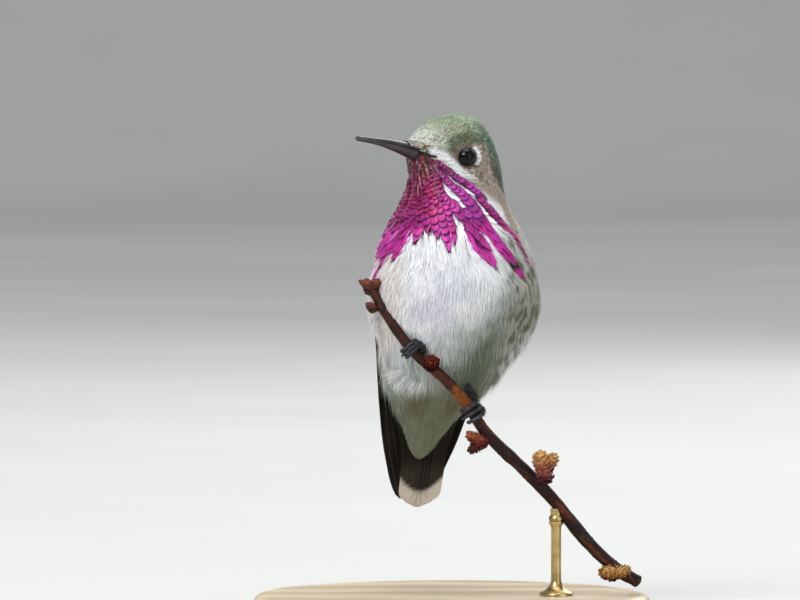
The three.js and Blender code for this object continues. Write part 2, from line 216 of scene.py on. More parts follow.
surfaceGrid = {"levels": 240, "sides": 220}
gridShare, gridAngle = np.meshgrid(
    np.linspace(0.001, 0.999, surfaceGrid["levels"]),
    np.linspace(0, 2 * math.pi, surfaceGrid["sides"], endpoint=False),
    indexing="ij",
)
surfacePoints = coatPoint(gridShare, gridAngle).reshape(-1, 3)
sides = surfaceGrid["sides"]
surfaceFaces = ringQuads(surfaceGrid["levels"], sides)
surfaceNormals = coatNormal(gridShare, gridAngle).reshape(-1, 3)
if surfaceNormals[surfaceGrid["levels"] // 2 * sides, 0] < 0:
    surfaceNormals = -surfaceNormals
coatTree = BVHTree.FromPolygons(surfacePoints.tolist(), surfaceFaces.tolist())


def lie(points):
    # nearest places on the coat and its smooth outward normals there
    near = [coatTree.find_nearest(p) for p in points]
    faces = surfaceFaces[[face for _, _, face, _ in near]]
    return np.array([spot for spot, _, _, _ in near]), unit(surfaceNormals[faces].mean(axis=1))


shareTable = np.linspace(0, 1, 400)
heightTable = coatRow(shareTable)[:, 0]


def sectionPlace(points):
    # on the level section: to the bird's left, to its back, the back as a share of its depth, and the level
    share = np.interp(-points[:, 2], -heightTable, shareTable)
    row = coatRow(share)
    turn = np.radians(row[:, 6])
    x, y = points[:, 0] - row[:, 1], points[:, 1] - row[:, 2]
    width = x * np.cos(turn) - y * np.sin(turn)
    depth = x * np.sin(turn) + y * np.cos(turn)
    size = np.maximum(np.where(depth > 0, row[:, 5], row[:, 4]), 0.8)
    return width, depth, depth / size, share


def unwrapped(points):
    # the skin's own unwrap: round it and down it
    width, depth, _, share = sectionPlace(points)
    around = np.arctan2(-width, depth) / (2 * math.pi) + 0.5
    return np.stack([0.004 + 0.992 * around, 0.996 - 0.992 * share], axis=-1)


backEdge = {"height": [24, 30, 38, 50, 58, 62.6, 65.4, 67.7, 70.8, 73.9, 75.3],
            "share": [0.2, 0.25, 0.35, 0.42, 0.46, 0.44, 0.32, 0.2, 0.13, 0.12, -2.0]}


def behindEdge(points):
    # above 0 on the green upper side, below 0 on the face and the under side
    return sectionPlace(points)[2] - np.interp(points[:, 2], backEdge["height"], backEdge["share"])


def turnedFrame(degrees):
    # level ways to the bird's left and to its back
    turn = math.radians(degrees)
    return np.array([math.cos(turn), -math.sin(turn), 0]), np.array([math.sin(turn), math.cos(turn), 0])


billLift = math.radians(9)
headMiddle = np.array([0.4, -1.5, 71.8])
headLeft, headBack = turnedFrame(41)
headAhead = -headBack
bodyMiddle = np.array([0.25, 2.0, 0])
bodyLeft, bodyBack = turnedFrame(-16)
billBase = headMiddle + 9.7 * headAhead + 1.15 * upward
billWay = headAhead * math.cos(billLift) + upward * math.sin(billLift)
eyePlace = {"ahead": 2.9, "out": 4.7, "up": 0.2, "radius": 1.64}


def headPoint(ahead, left, up):
    return headMiddle + ahead * headAhead + left * headLeft + up * upward


def bodyPoint(left, back, up):
    return bodyMiddle + left * bodyLeft + back * bodyBack + up * upward


def headPlace(points):
    away = points - headMiddle
    return np.stack([away @ headAhead, away @ headLeft, away[..., 2]], axis=-1)


def bodyPlace(points):
    away = points - bodyMiddle
    return np.stack([away @ bodyLeft, away @ bodyBack, away[..., 2]], axis=-1)


def frontView(x, height):
    # the coat's place that the front view shows at x and height, tilted as the camera is
    tilt = math.radians(2)
    way = Vector((0, math.cos(tilt), -math.sin(tilt)))
    for inward in np.linspace(0, 6, 49):
        start = Vector((x - math.copysign(inward, x), -60, (height + 60 * math.sin(tilt)) / math.cos(tilt)))
        spot = coatTree.ray_cast(start, way)[0]
        if spot is not None:
            return np.array([x, spot.y, spot.z])
    return np.array([x, 0, height])


# ---------- the courses of the throat's rays
gorgetRays = {  # x, height and full width as seen from the front, from the chin outwards
    "farLeft": [(-6.9, 70.5, 0.45), (-6.9, 69.0, 0.5), (-6.95, 67.5, 0.5), (-7.3, 66.2, 0.55),
                (-7.8, 65.0, 0.55), (-8.7, 63.8, 0.5), (-9.7, 62.4, 0.4), (-10.4, 61.2, 0.2)],
    "leftEdge": [(-7.5, 66.2, 0.4), (-7.8, 65.2, 0.45),
                 (-8.2, 64.2, 0.65), (-8.6, 63.3, 1.1), (-9.1, 62.3, 1.7), (-9.7, 60.6, 2.2),
                 (-10.6, 59.0, 2.1), (-11.4, 57.5, 1.5), (-12.05, 56.1, 0.4)],
    "leftMid": [(-6.6, 64.4, 0.6), (-7.55, 62.8, 1.2), (-8.95, 60.9, 1.8),
                (-9.9, 59.1, 1.9), (-10.8, 57.4, 1.5), (-11.5, 55.9, 0.4)],
    "leftLow": [(-6.25, 70.6, 0.4), (-6.2, 69.0, 0.45), (-6.1, 67.3, 0.5), (-6.15, 66.0, 0.6),
                (-6.4, 65.0, 0.7), (-6.9, 63.8, 1.2), (-7.4, 62.6, 1.7), (-8.3, 60.7, 2.2), (-9.3, 58.7, 2.2),
                (-10.6, 56.6, 1.8), (-11.6, 54.6, 1.3), (-12.5, 52.7, 0.35)],
    "leftInner": [(-5.95, 70.4, 0.4), (-5.85, 69.0, 0.45), (-5.75, 67.5, 0.5), (-5.8, 66.2, 0.6),
                  (-5.95, 65.0, 0.7), (-6.3, 63.8, 1.2), (-6.6, 62.5, 1.7), (-7.1, 61.0, 2.1),
                  (-7.8, 59.4, 2.1), (-8.55, 57.5, 1.7), (-9.45, 55.8, 0.25)],
    "leftTip": [(-5.65, 70.2, 0.45), (-5.5, 68.8, 0.5), (-5.35, 67.4, 0.55), (-5.3, 66.0, 0.65),
                (-5.25, 64.6, 0.85), (-5.2, 63.2, 1.2), (-5.2, 62.0, 1.6), (-5.35, 60.8, 1.8),
                (-5.75, 59.5, 1.3), (-6.0, 58.4, 0.35)],
    "middleLeft": [(-5.2, 70.1, 0.5), (-4.95, 68.8, 0.6), (-4.75, 67.5, 0.65), (-4.6, 66.3, 0.75),
                   (-4.4, 65.0, 0.95), (-4.3, 63.5, 1.3), (-4.15, 62.3, 1.6), (-4.0, 61.0, 1.4),
                   (-3.8, 59.8, 0.6)],
    "middle": [(-4.7, 70.0, 0.6), (-4.4, 68.8, 0.7), (-4.1, 67.6, 0.75), (-3.85, 66.5, 0.8),
               (-3.6, 65.3, 1.0), (-3.3, 64.2, 1.3), (-3.1, 63.0, 1.6), (-2.85, 61.5, 1.7), (-2.6, 60.3, 1.5),
               (-2.4, 59.0, 0.6)],
    "longTip": [(-4.15, 70.0, 0.6), (-3.8, 68.8, 0.7), (-3.4, 67.6, 0.75), (-3.1, 66.5, 0.8),
                (-2.75, 65.3, 1.0), (-2.3, 64.2, 1.3), (-1.9, 63.0, 1.5), (-1.5, 61.5, 1.6),
                (-1.15, 60.1, 1.6), (-0.8, 58.6, 1.3), (-0.5, 57.0, 0.35)],
    "besideTip": [(-3.65, 70.1, 0.6), (-3.15, 68.8, 0.7), (-2.75, 67.6, 0.75), (-2.35, 66.5, 0.8),
                  (-1.9, 65.3, 0.95), (-1.15, 64.2, 1.1), (-0.6, 63.0, 1.1), (-0.3, 61.8, 1.1),
                  (0.0, 60.4, 1.3), (0.2, 59.2, 1.0), (0.25, 58.2, 0.35)],
    "block": [(-3.2, 70.3, 0.65), (-2.6, 69.2, 0.75), (-2.15, 68.0, 0.8), (-1.85, 66.9, 0.85),
              (-1.45, 65.8, 0.9), (-0.75, 64.8, 1.1), (0.4, 64.0, 1.5), (1.15, 63.0, 1.8), (1.6, 62.2, 1.4),
              (2.0, 61.1, 0.5)],
    "lowRay": [(2.45, 63.1, 0.6), (2.6, 62.3, 1.3), (2.8, 61.2, 2.1), (3.2, 60.1, 2.5), (3.7, 59.0, 2.7),
               (4.4, 58.0, 2.7), (5.6, 56.4, 2.2), (6.8, 54.5, 0.4)],
    "longRay": [(-2.7, 70.6, 0.6), (-2.05, 69.6, 0.8), (-1.3, 68.6, 0.9), (-0.6, 67.8, 1.0),
                (0.3, 67.1, 1.05), (1.3, 66.3, 1.15), (2.2, 65.5, 1.3), (3.0, 64.5, 1.45), (3.75, 63.4, 1.6),
                (4.6, 62.2, 1.7), (5.35, 61.1, 2.0), (6.1, 60.0, 2.2), (7.2, 58.3, 2.3), (8.5, 56.6, 2.2),
                (9.9, 54.8, 1.8), (11.4, 52.9, 0.35)],
    "cheekRow": [(-2.3, 70.95, 0.55), (-1.4, 70.25, 0.85), (-0.5, 69.5, 0.95), (0.4, 68.75, 0.95),
                 (1.5, 68.1, 0.95), (2.6, 67.5, 0.95), (3.5, 66.8, 0.95), (4.3, 66.1, 1.0),
                 (5.3, 65.25, 0.7)],
    "thinRay": [(4.65, 65.0, 0.5), (5.35, 64.2, 0.85), (6.35, 63.3, 1.0), (7.6, 62.1, 1.1), (8.8, 60.7, 1.2),
                (9.8, 59.4, 1.2), (10.7, 57.9, 1.1), (11.55, 56.45, 0.8), (12.2, 54.9, 0.15)],
}


def rayCourse(places):
    # the ray's course on the coat, evenly divided, with its width and the distance travelled
    places = np.array(places)
    knots = np.concatenate([[0], np.cumsum(np.linalg.norm(np.diff(places[:, :2], axis=0), axis=1))])
    fine = np.linspace(0, knots[-1], 60)
    x, h, w = (np.interp(fine, knots, places[:, k]) for k in range(3))
    spots = np.array([frontView(a, b) for a, b in zip(x, h)])
    travel = np.concatenate([[0], np.cumsum(np.linalg.norm(np.diff(spots, axis=0), axis=1))])
    return spots, w, travel


def turnedRay(course, degrees):
    # the same ray again, further round the throat
    spots, width, _ = course
    middle = coatRow(np.interp(-spots[:, 2], -heightTable, shareTable))[:, 1:3]
    away = spots[:, :2] - middle
    turn = math.radians(degrees)
    x = away[:, 0] * math.cos(turn) - away[:, 1] * math.sin(turn)
    y = away[:, 0] * math.sin(turn) + away[:, 1] * math.cos(turn)
    spots = lie(np.stack([middle[:, 0] + x, middle[:, 1] + y, spots[:, 2]], axis=-1))[0]
    return spots, width, np.concatenate([[0], np.cumsum(np.linalg.norm(np.diff(spots, axis=0), axis=1))])


rayCourses = {name: rayCourse(places) for name, places in gorgetRays.items()}
rayCourses["hiddenRow"] = turnedRay(rayCourses["farLeft"], -16)
rayCourses["hiddenRay"] = turnedRay(rayCourses["leftLow"], -33)
rayCourses["sideRay"] = turnedRay(rayCourses["leftLow"], -17)
raySpots = np.concatenate([course[0] for course in rayCourses.values()])
rayWidths = np.concatenate([course[1] for course in rayCourses.values()])
rayWays = np.concatenate([unit(np.gradient(course[0], axis=0)) for course in rayCourses.values()])
rayTree = KDTree(len(raySpots))
for k, spot in enumerate(raySpots):
    rayTree.insert(spot, k)
rayTree.balance()


def nearRay(points):
    # distance from the nearest ray's middle, that ray's half width and its way
    flat = points.reshape(-1, 3)
    found = [rayTree.find(p)[1:] for p in flat]
    index = np.array([k for k, _ in found])
    away = np.array([d for _, d in found])
    shape = points.shape[:-1]
    return away.reshape(shape), 0.5 * rayWidths[index].reshape(shape), rayWays[index].reshape(points.shape)


def rayShare(points):
    # 1 under a ray's scales
    away, half, _ = nearRay(points)
    return ramp(away / np.maximum(half, 0.38), 1.0, 0.75)


# ---------- the colours of the coat, by place
# the belly, lower belly and undertail tints are partly the coat's own greys and partly painted shade; the
# lower belly's green is also a painted reflection
tint = linearTints({
    "forehead": (212, 215, 207), "crown": (136, 154, 122), "crownBuff": (170, 160, 146),
    "crownDark": (70, 80, 56), "nape": (92, 126, 106), "napeDark": (56, 64, 46), "lore": (98, 90, 70),
    "malar": (236, 238, 240), "throatRoot": (104, 26, 74), "gape": (36, 28, 28), "cheek": (158, 144, 130),
    "cheekDark": (92, 78, 64), "cheekPale": (206, 192, 178), "neckBuff": (182, 166, 150),
    "white": (246, 247, 250), "lilac": (214, 214, 228), "belly": (196, 202, 200), "lowBellyShade": (108, 116, 96),
    "vent": (112, 100, 70), "flank": (188, 184, 174), "flankDark": (92, 94, 72), "flankPink": (222, 208, 198),
    "under": (126, 136, 112), "back": (70, 112, 70), "backGold": (128, 140, 78),
})
headLines = {  # places in the head's frame, the same on both sides, then the half width and its softness
    "crown": ([(5.2, 4.3, 2.6), (3.2, 4.9, 3.3), (0.3, 5.5, 3.1)], 0.85, 0.4),
    "brow": ([(5.4, 4.2, 1.7), (3.2, 5.0, 2.5), (0.6, 5.5, 2.7)], 0.5, 0.25),
    "nostril": ([(9.5, 0.7, 1.9), (8.8, 2.0, 1.3)], 0.75, 0.35),
    "lore": ([(5.4, 4.4, 1.3), (5.1, 4.6, 0.3)], 0.6, 0.35),
    "lid": ([(1.7, 5.7, 1.5), (1.15, 5.95, 0.8), (1.15, 6.0, 0.0), (1.7, 6.0, -0.7)], 0.4, 0.14),
    "malar": ([(8.1, 2.7, 0.95), (6.6, 3.8, 0.2), (5.5, 4.5, -0.95), (4.5, 5.1, -2.0), (3.4, 5.7, -2.95),
               (2.6, 6.2, -3.5)], 0.72, 0.4),
    "gape": ([(8.8, 2.1, 0.42), (7.9, 3.0, 0.27)], 0.2, 0.1),
    "bill": ([(9.7, 0.9, 0.72), (9.3, 1.55, 0.6)], 0.5, 0.1),
    "billSide": ([(9.3, 1.55, 0.6), (8.7, 2.3, 0.43)], 0.36, 0.1),
}


def nearLine(place, name):
    # 1 on one of the head's lines
    line, half, soft = headLines[name]
    place = np.stack([place[:, 0], np.abs(place[:, 1]), place[:, 2]], axis=-1)
    least = np.full(len(place), 1e9)
    for a, b in zip(line[:-1], line[1:]):
        a, b = np.array(a), np.array(b)
        t = np.clip((place - a) @ (b - a) / ((b - a) @ (b - a)), 0, 1)
        least = np.minimum(least, np.linalg.norm(place - a - t[:, None] * (b - a), axis=1))
    return 1 - ramp(least, half - soft, half + soft)


def coatTint(points):
    head, body = headPlace(points), bodyPlace(points)
    ahead, out, high = head[:, 0], np.abs(head[:, 1]), head[:, 2]
    left, up = body[:, 0], body[:, 2]
    speck, fleck = mottle(points, 0.42, 1), mottle(points, 0.8, 2)
    patch, broad = mottle(points, 1.7, 3), mottle(points, 3.5, 4)
    behind = behindEdge(points)

    # level sinks lower down and towards the bird's left, the side away from the key lamp: the belly tones it
    # lays are partly the coat's own grey and partly painted shade
    level = up + 2.5 * (patch - 0.5) - 0.6 * left - 0.5 * np.maximum(left, 0)
    smudge = ramp(np.abs(np.abs(left + 2.4) - 2.6), 2.2, 0.6) * ramp(up, 35.2, 33.6) * ramp(up, 30, 32.5)
    side = ramp(left + 2 * (patch - 0.5) + 0.35 * np.maximum(up - 53, 0), 3.6, 8.0)
    side = np.maximum(side, ramp(left, -9.5, -12)) + ramp(behind, -0.75, -0.3)
    side = np.minimum(side, 1) * ramp(up, 64, 61) * ramp(up, 35, 39)
    scallop = side * ramp(mottle(points * np.array([1, 1, 0.62]), 0.62, 5), 0.5, 0.68) * ramp(left, -9, -2)
    trunk = layered(
        tint, "white",
        ("lilac", 0.55 * ramp(broad, 0.45, 0.75) * ramp(up, 58, 50)),
        # painted shade: greyer towards the underside and the bird's left, over the belly's own grey
        ("belly", ramp(level, 50, 43) * 0.9),
        # painted shade and a painted green reflection on the lower belly, over its own grey-green
        ("lowBellyShade", ramp(level + fleck - 0.5, 46, 38.5) * (0.15 + 0.8 * ramp(left, -7, 1))),
        # the undertail's darker grey-green: partly its own colour, partly painted shade under the belly
        ("under", ramp(up + 1.5 * (patch - 0.5), 36, 33.8) * 0.95),
        ("vent", smudge * (0.35 + 0.5 * patch)),
        # painted shade: the bird's left side greyer
        ("belly", 0.35 * ramp(left, 2.5, 6) * ramp(up, 60, 54)),
        ("flank", side * ramp(left, -6, 6) * 0.75),
        ("flankPink", side * ramp(left, 0, -8) * 0.5),
        ("flankDark", scallop * (0.85 - 0.4 * ramp(behind, -1.0, -0.5))))
    green = mixed(tint["back"], tint["backGold"], ramp(patch, 0.3, 0.9) * 0.55)
    trunk = mixed(trunk, green, ramp(behind + 0.16 * (fleck - 0.5), -0.08, 0.08) * ramp(up, 27, 31))

    neckSide = layered(
        tint, "cheek",
        ("cheekPale", ramp(speck, 0.5, 0.75) * 0.85),
        ("cheekDark", ramp(mottle(points, 0.5, 6), 0.5, 0.75) * 0.8 * ramp(high, -6.5, -3)),
        ("neckBuff", ramp(high, -2.8, -4.8) * 0.8),
        ("white", ramp(high - 0.5 * ahead, -5.2, -7.2) * ramp(ahead, -3.4, -1.6)),
        ("white", ramp(high, -12.5, -15) * ramp(out, 10.5, 9)))
    crown = layered(
        tint, "crown",
        ("forehead", ramp(ahead + 1.5 * (fleck - 0.5), 4.2, 9.2) * 0.92),
        ("crownBuff", ramp(speck, 0.52, 0.8) * 0.75 * ramp(ahead, -3, 2)),
        ("crownDark", ramp(fleck * 0.5 + speck * 0.5, 0.5, 0.75) * (0.12 + 0.6 * ramp(ahead, 7, 0))),
        ("lore", ramp(mottle(points, 0.24, 7), 0.52, 0.8) * 0.5 * ramp(ahead, 1, 4)))
    nape = layered(
        tint, "nape",
        ("napeDark", ramp(speck, 0.35, 0.7) * 0.8),
        ("cheek", ramp(fleck, 0.5, 0.8) * 0.6),
        ("napeDark", ramp(high, 1, -3) * ramp(high, -9, -5) * 0.75))
    nape = mixed(nape, green, ramp(high + 2 * (patch - 0.5), -4, -9))
    crown = mixed(crown, nape, ramp(ahead + 0.7 * (fleck - 0.5), 1.2, -1.4) * ramp(high, 6.2, 3.6))
    isCrown = np.maximum(ramp(high + 0.5 * (fleck - 0.5) + 1.3 * ramp(ahead, 4.0, 6.0), 1.9, 2.6),
                         ramp(behind + 0.12 * (fleck - 0.5), -0.06, 0.06))
    top = layered(
        tint, mixed(neckSide, crown, isCrown),
        ("crownDark", nearLine(head, "crown") * (0.45 + 0.55 * speck)),
        ("lore", nearLine(head, "brow") * (0.4 + 0.4 * fleck)),
        ("lore", nearLine(head, "nostril") * ramp(speck, 0.4, 0.6)),
        ("lore", nearLine(head, "lore") * (0.45 + 0.5 * fleck)),
        ("malar", nearLine(head, "lid")),
        ("malar", nearLine(head, "malar") * (0.8 + 0.2 * speck) * ramp(high, -4.1, -2.2)),
        ("gape", np.max([nearLine(head, name) for name in ("gape", "bill", "billSide")], axis=0)))
    whole = mixed(trunk, top, ramp(high + 2.5 * (patch - 0.5), -13.5, -9.5))
    return mixed(whole, tint["throatRoot"], rayShare(points))


# ---------- making meshes
def tinted(piece, colour):
    # a colour on every point of a mesh
    shade = piece.data.attributes.new("tint", "FLOAT_COLOR", "POINT")
    rgba = np.concatenate([np.clip(colour, 0, 1), np.ones((len(colour), 1))], axis=1)
    shade.data.foreach_set("color", rgba.astype(np.float32).ravel())


def placed(name, data):
    made = bpy.data.objects.new(name, data)
    bpy.context.scene.collection.objects.link(made)
    return made


def meshObject(name, points, faces, uv=None, vane=None, colour=None):
    # points in millimetres, faces an array of quads or triangles
    mesh = bpy.data.meshes.new(name)
    count, corners = faces.shape
    mesh.vertices.add(len(points))
    mesh.vertices.foreach_set("co", (points * mm).astype(np.float32).ravel())
    mesh.loops.add(count * corners)
    mesh.loops.foreach_set("vertex_index", faces.astype(np.int32).ravel())
    mesh.polygons.add(count)
    mesh.polygons.foreach_set("loop_start", np.arange(0, count * corners, corners, dtype=np.int32))
    mesh.polygons.foreach_set("use_smooth", np.ones(count, bool))
    mesh.update(calc_edges=True)
    for label, flat in (("OFBake", uv), ("vane", vane)):
        if flat is not None:
            layer = mesh.uv_layers.new(name=label)
            layer.data.foreach_set("uv", flat[faces.ravel()].astype(np.float32).ravel())
    made = placed(name, mesh)
    if colour is not None:
        tinted(made, colour)
    mesh.validate()
    return made


def weld(piece):
    # joins doubled points and turns the faces outward
    work = bmesh.new()
    work.from_mesh(piece.data)
    bmesh.ops.remove_doubles(work, verts=work.verts, dist=1e-8)
    bmesh.ops.dissolve_degenerate(work, dist=1e-9, edges=work.edges)
    bmesh.ops.recalc_face_normals(work, faces=work.faces)
    work.to_mesh(piece.data)
    work.free()
    for face in piece.data.polygons:
        face.use_smooth = True


def settle(piece, material, slot, *nodes):
    piece.data.materials.clear()
    piece.data.materials.append(material)
    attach(piece, "root")
    if nodes:
        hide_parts(*nodes)


def placesOf(piece, normals=False):
    flat = np.empty(len(piece.data.vertices) * 3, np.float32)
    if normals:
        piece.data.vertex_normals.foreach_get("vector", flat)
        return flat.reshape(-1, 3).astype(float)
    piece.data.vertices.foreach_get("co", flat)
    return flat.reshape(-1, 3).astype(float) / mm


def scattered(count, spacing, wanted, seed):
    # places spread evenly over the coat, no closer than spacing; wanted(points) says where
    draw = np.random.default_rng(seed)
    corners = surfacePoints[surfaceFaces]
    area = 0.5 * np.linalg.norm(
        np.cross(corners[:, 2] - corners[:, 0], corners[:, 3] - corners[:, 1]), axis=1)
    middle = corners.mean(axis=1)
    area = area * wanted(middle)
    pick = draw.choice(len(area), count, p=area / area.sum())
    u, v = draw.random((2, count, 1))
    quad = corners[pick]
    points = (quad[:, 0] * (1 - u) + quad[:, 1] * u) * (1 - v) + (quad[:, 3] * (1 - u) + quad[:, 2] * u) * v
    tree = KDTree(count)
    for k, p in enumerate(points):
        tree.insert(p, k)
    tree.balance()
    kept = np.ones(count, bool)
    for k in range(count):
        if kept[k]:
            for _, other, _ in tree.find_range(points[k], spacing):
                if other > k:
                    kept[other] = False
    return points[kept]


def turnedBy(way, normal, angle):
    return way * np.cos(angle)[:, None] + np.cross(normal, way) * np.sin(angle)[:, None]


def flow(points):
    # the lie of the coat: back from the bill over the head, then down and back along the body
    away = points - (billBase + 1.2 * headAhead - 0.6 * upward)
    reach = np.linalg.norm(away, axis=1)
    down = -upward + 0.22 * bodyBack
    share = (1 - ramp(reach, 8, 17)) * ramp(points[:, 2], 61, 66)
    return unit(mixed(down, unit(away), share))


def walked(roots, lengths, steps, yaw, way=flow):
    # lines that run from each root along the coat
    place, normal = lie(roots)
    line, normals = [place], [normal]
    ahead = None
    for _ in range(steps):
        wanted = way(place)
        wanted = unit(wanted - normal * (wanted * normal).sum(axis=1, keepdims=True))
        wanted = turnedBy(wanted, normal, yaw)
        if ahead is not None:
            wanted = unit(wanted + ahead)
        ahead = wanted
        place, normal = lie(place + ahead * (lengths / steps)[:, None])
        line.append(place)
        normals.append(normal)
    return np.stack(line, axis=1), unit(np.stack(normals, axis=1))


def vanes(line, normals, half, form, colour, shade=None, patch=0.003):
    # one vane along each line: form holds its outline, rise and camber; patch is its size on the map
    count, steps, _ = line.shape
    across = np.array(form["across"], float)
    wide = len(across)
    outline, rise = (np.broadcast_to(np.asarray(form[key], float), (count, steps))
                     for key in ("outline", "rise"))
    along = unit(np.gradient(line, axis=1))
    side = unit(np.cross(along, normals))
    breadth = half[:, None] * outline
    points = (
        line[:, :, None] + normals[:, :, None] * rise[:, :, None, None]
        + side[:, :, None] * (breadth[:, :, None] * across)[..., None]
        - normals[:, :, None] * (breadth[:, :, None] * form["camber"] * across**2)[..., None]
    )
    if "ridge" in form:
        points -= normals[:, :, None] * (form["ridge"] * breadth[:, :, None]
                                         * (np.abs(across) < 0.05))[..., None]
    first = (np.arange(count) * steps * wide)[:, None, None]
    k = np.arange(steps - 1)[None, :, None] * wide
    m = np.arange(wide - 1)[None, None, :]
    start = first + k + m
    faces = np.stack([start, start + 1, start + wide + 1, start + wide], axis=-1).reshape(-1, 4)
    part = np.linspace(0, 1, steps)
    if "thick" in form:  # a thin closed blade, with its two faces meeting at the edges
        swell = form["thick"] * np.sin(math.pi * part)[:, None] ** 0.5 * (1 - across**2)
        bulge = normals[:, :, None] * swell[None, ..., None]
        points = np.concatenate([points + bulge, points - bulge])
        faces = np.concatenate([faces, faces[:, ::-1] + count * steps * wide])
    length = np.linalg.norm(np.diff(line, axis=1), axis=2).sum(axis=1)
    vane = np.stack(np.broadcast_arrays(
        breadth[:, :, None] * across, (length[:, None] * part)[:, :, None]), axis=-1)
    vane = vane + (np.arange(count) % 97 * 3.1)[:, None, None, None]
    root = unwrapped(line[:, 0])
    spread = np.stack(np.broadcast_arrays(across[None, :] * 0.5, part[:, None] - 0.5), axis=-1) * patch
    uv = np.clip(root[:, None, None] + spread[None], 0.0005, 0.9995)
    if colour.ndim == 2:
        colour = colour[:, None, None]
    if shade is not None:
        colour = colour * np.asarray(shade)[..., None]
    colour = np.broadcast_to(colour, (count, steps, wide, 3))
    if "thick" in form:
        uv, vane, colour = (np.concatenate([one, one]) for one in (uv, vane, colour))
    return {
        "points": points.reshape(-1, 3), "faces": faces, "uv": uv.reshape(-1, 2),
        "vane": vane.reshape(-1, 2), "colour": colour.reshape(-1, 3),
    }


def crossed(along, across):
    # shades along a feather times shades across it; darker roots and edges are partly the feathers' own
    # darker bases and partly painted shade where neighbouring feathers overlap them
    return np.array(along)[None, :, None] * np.array(across)


def lineTint(line):
    # the coat's colour at every place along every plume
    return coatTint(line.reshape(-1, 3)).reshape(line.shape)[:, :, None]


def clearOfRays(line, share):
    away, half, _ = nearRay(line)
    return (away > share * half).all(axis=1)


def broadPlumes(points, form, seed, grow=1.0, narrow=1.0):
    # broad plumes in the coat's colours; form says how long, wide, raised and shaded they are
    draw = np.random.default_rng(seed)
    lengths = form["length"] * draw.uniform(*form["lengths"], len(points)) * grow
    line, normals = walked(points, lengths, 5, draw.normal(0, form["sway"], len(points)),
                           form.get("way", flow))
    if "clear" in form:
        keep = clearOfRays(line[:, 3:], form["clear"])
        line, normals = line[keep], normals[keep]
    count = len(line)
    spread = draw.normal(0, form["loose"], (count, 1)) * np.linspace(0, 1, 6)
    rise = np.linspace(*form["lift"], 6)[None] + spread
    colour = lineTint(line) if "clear" in form else coatTint(line[:, 4])[:, None, None]
    colour = colour * draw.uniform(*form["tones"], (count, 1, 1, 1))
    half = form["half"] * draw.uniform(*form["halves"], count) * narrow
    return vanes(line, normals, half, form | {"rise": rise}, colour, crossed(form["along"], form["over"]))


def joined(name, parts):
    offset, faces = 0, []
    for part in parts:
        faces.append(part["faces"] + offset)
        offset += len(part["points"])
    whole = {key: np.concatenate([part[key] for part in parts]) for key in ("points", "uv", "vane", "colour")}
    made = meshObject(name, whole["points"], np.concatenate(faces), whole["uv"], whole["vane"],
                      whole["colour"])
    print(name, "triangles", 2 * len(made.data.polygons))
    return made


def coatPiece(name, material, *parts):
    settle(joined(name, parts), material, "plumage")


# ---------- finishes
def nodeGroup(name, kind, inputs, outputs):
    group = bpy.data.node_groups.new(name, kind)
    for way, rows in (("INPUT", inputs), ("OUTPUT", outputs)):
        for label, socketKind, *value in rows:
            socket = group.interface.new_socket(label, in_out=way, socket_type="NodeSocket" + socketKind)
            if value:
                socket.default_value = value[0]
    return group, group.nodes.new("NodeGroupInput").outputs, group.nodes.new("NodeGroupOutput")


def addNode(tree, kind, values=None, **settings):
    # a node whose inputs are given values or other nodes' outputs
    node = tree.nodes.new(kind)
    for key, value in settings.items():
        setattr(node, key, value)
    for key, value in (values or {}).items():
        if isinstance(value, bpy.types.NodeSocket):
            tree.links.new(value, node.inputs[key])
        else:
            node.inputs[key].default_value = value
    return node


def sumNode(tree, operation, *values):
    return addNode(tree, "ShaderNodeMath", dict(enumerate(values)), operation=operation).outputs[0]


def makeBarbs():
    # fine barbs that slant out from a vane's shaft, from the vane's own map in millimetres
    group, given, result = nodeGroup(
        "feather barbs", "ShaderNodeTree",
        [("Map", "Vector"), ("Spacing", "Float", 0.09), ("Slant", "Float", 0.9)],
        [("Barbs", "Float"), ("Clumps", "Float")])
    split = addNode(group, "ShaderNodeSeparateXYZ", {0: given["Map"]}).outputs
    slanted = sumNode(group, "MULTIPLY", sumNode(group, "ABSOLUTE", split["X"]), given["Slant"])
    pace = sumNode(group, "DIVIDE", sumNode(group, "SUBTRACT", split["Y"], slanted), given["Spacing"])
    place = addNode(group, "ShaderNodeCombineXYZ", {"X": pace}).outputs[0]
    for label, size, detail in (("Barbs", 2.0, 2.0), ("Clumps", 0.35, 1.0)):
        noise = addNode(group, "ShaderNodeTexNoise", {"Vector": place, "Scale": size, "Detail": detail})
        group.links.new(noise.outputs["Fac"], result.inputs[label])
    return group


def makeSpeckle():
    # soft specks through a solid, with the size given in metres
    group, given, result = nodeGroup(
        "speckle", "ShaderNodeTree",
        [("Size", "Float", 0.001), ("Low", "Float", 0.4), ("High", "Float", 0.65)],
        [("Mask", "Float"), ("Fine", "Float")])
    where = addNode(group, "ShaderNodeTexCoord").outputs["Object"]
    rate = sumNode(group, "DIVIDE", 1.0, given["Size"])
    noise = addNode(group, "ShaderNodeTexNoise", {"Vector": where, "Scale": rate, "Detail": 4.0,
                                                  "Roughness": 0.6})
    fine = addNode(group, "ShaderNodeTexNoise", {"Vector": where, "Scale": 5000.0, "Detail": 3.0})
    span = addNode(group, "ShaderNodeMapRange", {
        "Value": noise.outputs["Fac"], "From Min": given["Low"], "From Max": given["High"],
    }, interpolation_type="SMOOTHSTEP")
    group.links.new(span.outputs["Result"], result.inputs["Mask"])
    group.links.new(fine.outputs["Fac"], result.inputs["Fine"])
    return group


barbsGroup = makeBarbs()
speckleGroup = makeSpeckle()


socketNames = {"specular": "Specular IOR Level", "coat": "Coat Weight", "sheen": "Sheen Weight",
               "coatRoughness": "Coat Roughness"}


